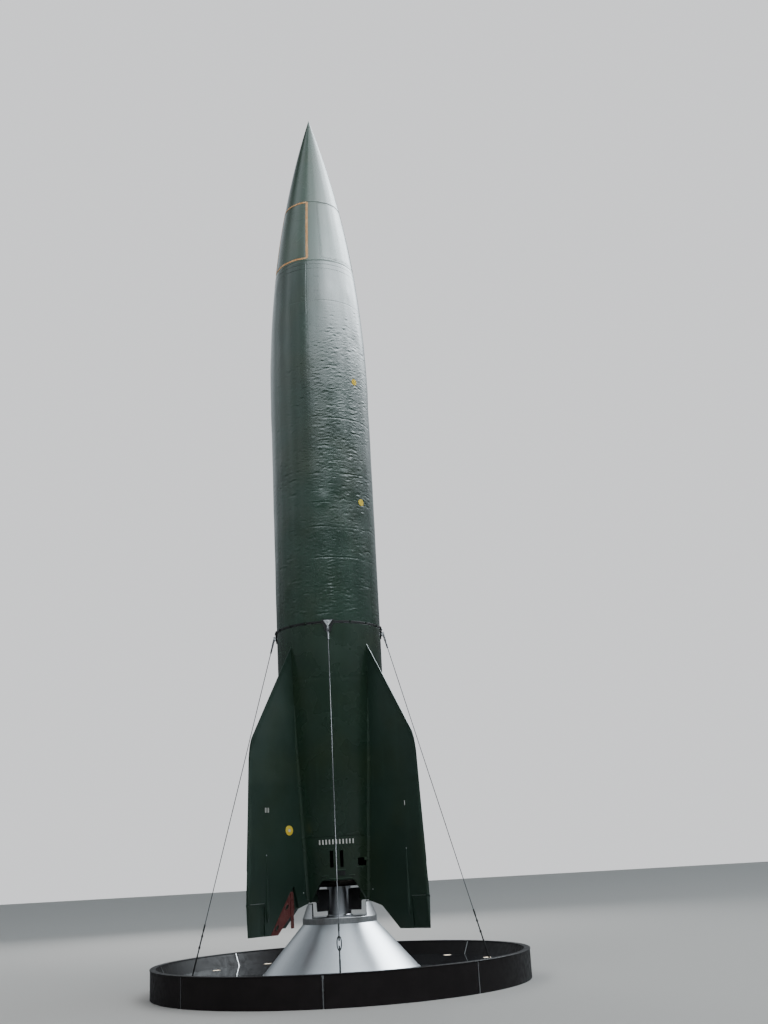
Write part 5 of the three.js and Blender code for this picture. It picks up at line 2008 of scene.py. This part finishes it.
def add_floor():
    material = bpy.data.materials.new("studio_floor")
    material.use_nodes = True
    tree = material.node_tree
    shader = tree.nodes["Principled BSDF"]
    shader.inputs["Roughness"].default_value = 0.7
    rays = tree.nodes.new("ShaderNodeLightPath")
    tone = tree.nodes.new("ShaderNodeValToRGB")
    tone.color_ramp.elements[0].color = FLOOR_TONE
    tone.color_ramp.elements[1].color = FLOOR_REFLECTED
    tree.links.new(rays.outputs["Is Glossy Ray"], tone.inputs["Fac"])
    tree.links.new(tone.outputs["Color"], shader.inputs["Base Color"])
    bpy.ops.mesh.primitive_plane_add(size=160, location=(0, 0, 0))
    floor = bpy.context.object
    floor.name = "studio_floor"
    floor.data.materials.append(material)


# Brightness of the surroundings in a reflection, by the sine of the elevation.
SKY_RIGHT = ((0.0, 0.08), (0.15, 0.10), (0.21, 0.24), (0.275, 0.5), (0.33, 0.9), (0.386, 2.3), (0.48, 8.5),
             (0.56, 17.0), (0.66, 21.0), (0.72, 13.0), (0.90, 4.0), (1.0, 1.0))
SKY_FRONT = ((0.0, 0.08), (0.18, 0.10), (0.275, 0.24), (0.33, 0.85), (0.386, 1.9), (0.48, 5.5), (0.67, 6.9),
             (0.90, 3.0), (1.0, 1.0))
SKY_LEFT = ((0.0, 0.08), (0.17, 0.12), (0.26, 0.5), (0.34, 1.1), (0.45, 1.3), (0.60, 1.4), (0.70, 1.8),
            (0.83, 1.5), (1.0, 0.9))
SKY_BACK_LEFT = ((0.0, 0.06), (0.20, 0.12), (0.30, 0.55), (0.44, 1.0), (0.55, 0.8), (0.67, 0.40),
                 (0.74, 0.07), (0.90, 0.07), (1.0, 0.6))
SKY_PEAK = 21.0
# Where the parts of the surroundings go over into each other, in degrees from the front towards +X.
FRONT_RISE = (-32, -10)
RIGHT_RISE = (5, 70)
RIGHT_FALL = (118, 168)
LEFT_RISE = (-35, -90)
BACK_LEFT_RISE = (-75, -112)
CLOUDS = (0.72, 1.28)
SKY_TINT = (0.89, 0.98, 1.04, 1)
UNREFLECTED = 0.07
BACKDROP = (0.80, 0.81, 0.83, 1)
BACKDROP_STRENGTH = 1.3


def add_world():
    """Surroundings of soft light: bright above and to the right, dark near the floor."""
    world = bpy.data.worlds.new("studio")
    bpy.context.scene.world = world
    world.use_nodes = True
    made = Nodes(world.node_tree)
    maths = made.maths

    def sky(levels):
        """The brightness at the elevation looked at, from its steps."""
        ramp = made.node("ShaderNodeValToRGB", {"Fac": parts["Z"]})
        steps = ramp.color_ramp.elements
        while len(steps) < len(levels):
            steps.new(0.5)
        for mark, (at, level) in zip(steps, levels):
            mark.position = at
            mark.color = (level / SKY_PEAK, level / SKY_PEAK, level / SKY_PEAK, 1)
        return ramp.outputs["Color"]

    def blend(share, first, second):
        """One value going over into another."""
        kept = maths("MULTIPLY", first, maths("SUBTRACT", 1.0, share))
        return maths("ADD", kept, maths("MULTIPLY", second, share))

    place = made.node("ShaderNodeTexCoord").outputs["Generated"]
    parts = made.node("ShaderNodeSeparateXYZ", {"Vector": place}).outputs
    turn = maths("ARCTAN2", parts["X"], maths("MULTIPLY", parts["Y"], -1.0))
    turn = maths("MULTIPLY", turn, 180 / math.pi)
    past_right = made.spread(turn, *RIGHT_FALL)
    facing_front = maths("MULTIPLY", made.spread(turn, *FRONT_RISE), made.spread(turn, *RIGHT_FALL, 1.0, 0.0))
    behind = maths("MAXIMUM", made.spread(turn, *BACK_LEFT_RISE[::-1], 1.0, 0.0), past_right)
    near_left = maths("MULTIPLY", sky(SKY_LEFT), made.spread(turn, *LEFT_RISE[::-1], 0.95, 0.72))
    left = blend(behind, near_left, sky(SKY_BACK_LEFT))
    right = blend(made.spread(turn, *RIGHT_RISE), sky(SKY_FRONT), sky(SKY_RIGHT))
    clouds = made.node("ShaderNodeTexNoise", {"Vector": place, "Scale": 3.5, "Detail": 3.0}).outputs["Fac"]
    level = maths("MULTIPLY", blend(facing_front, left, right), made.spread(clouds, 0.3, 0.7, *CLOUDS))
    level = maths("MULTIPLY", level, SKY_PEAK)

    rays = made.node("ShaderNodeLightPath").outputs
    scale = made.spread(rays["Is Glossy Ray"], 0.0, 1.0, UNREFLECTED, 1.0)
    lit = made.node("ShaderNodeBackground", {"Color": SKY_TINT, "Strength": maths("MULTIPLY", level, scale)})
    shown = made.node("ShaderNodeBackground", {"Color": BACKDROP, "Strength": BACKDROP_STRENGTH})
    choose = {0: rays["Is Camera Ray"], 1: lit.outputs[0], 2: shown.outputs[0]}
    mixed = made.node("ShaderNodeMixShader", choose)
    made.node("ShaderNodeOutputWorld", {"Surface": mixed.outputs[0]})


def add_lamp(name, place, target, size, power, tint=(1, 1, 1)):
    data = bpy.data.lights.new(name, "AREA")
    data.shape = "RECTANGLE"
    data.size, data.size_y = size
    data.energy = power
    data.color = tint
    lamp = bpy.data.objects.new(name, data)
    bpy.context.collection.objects.link(lamp)
    aim = Vector(target) - Vector(place)
    lamp.matrix_world = Matrix.Translation(place) @ aim.to_track_quat("-Z", "Y").to_matrix().to_4x4()
    lamp.visible_camera = False
    lamp.visible_glossy = False


def add_studio():
    add_floor()
    add_world()
    add_lamp("key", (11, -13, 21), (0, 0, 7), (12, 9), 1500)
    add_lamp("fill", (-10, -15, 13), (0, 0, 7), (9, 8), 800)
    add_lamp("back", (-3, 17, 12), (0, 0, 6), (12, 9), 1600)


add_camera()
add_all()
add_studio()
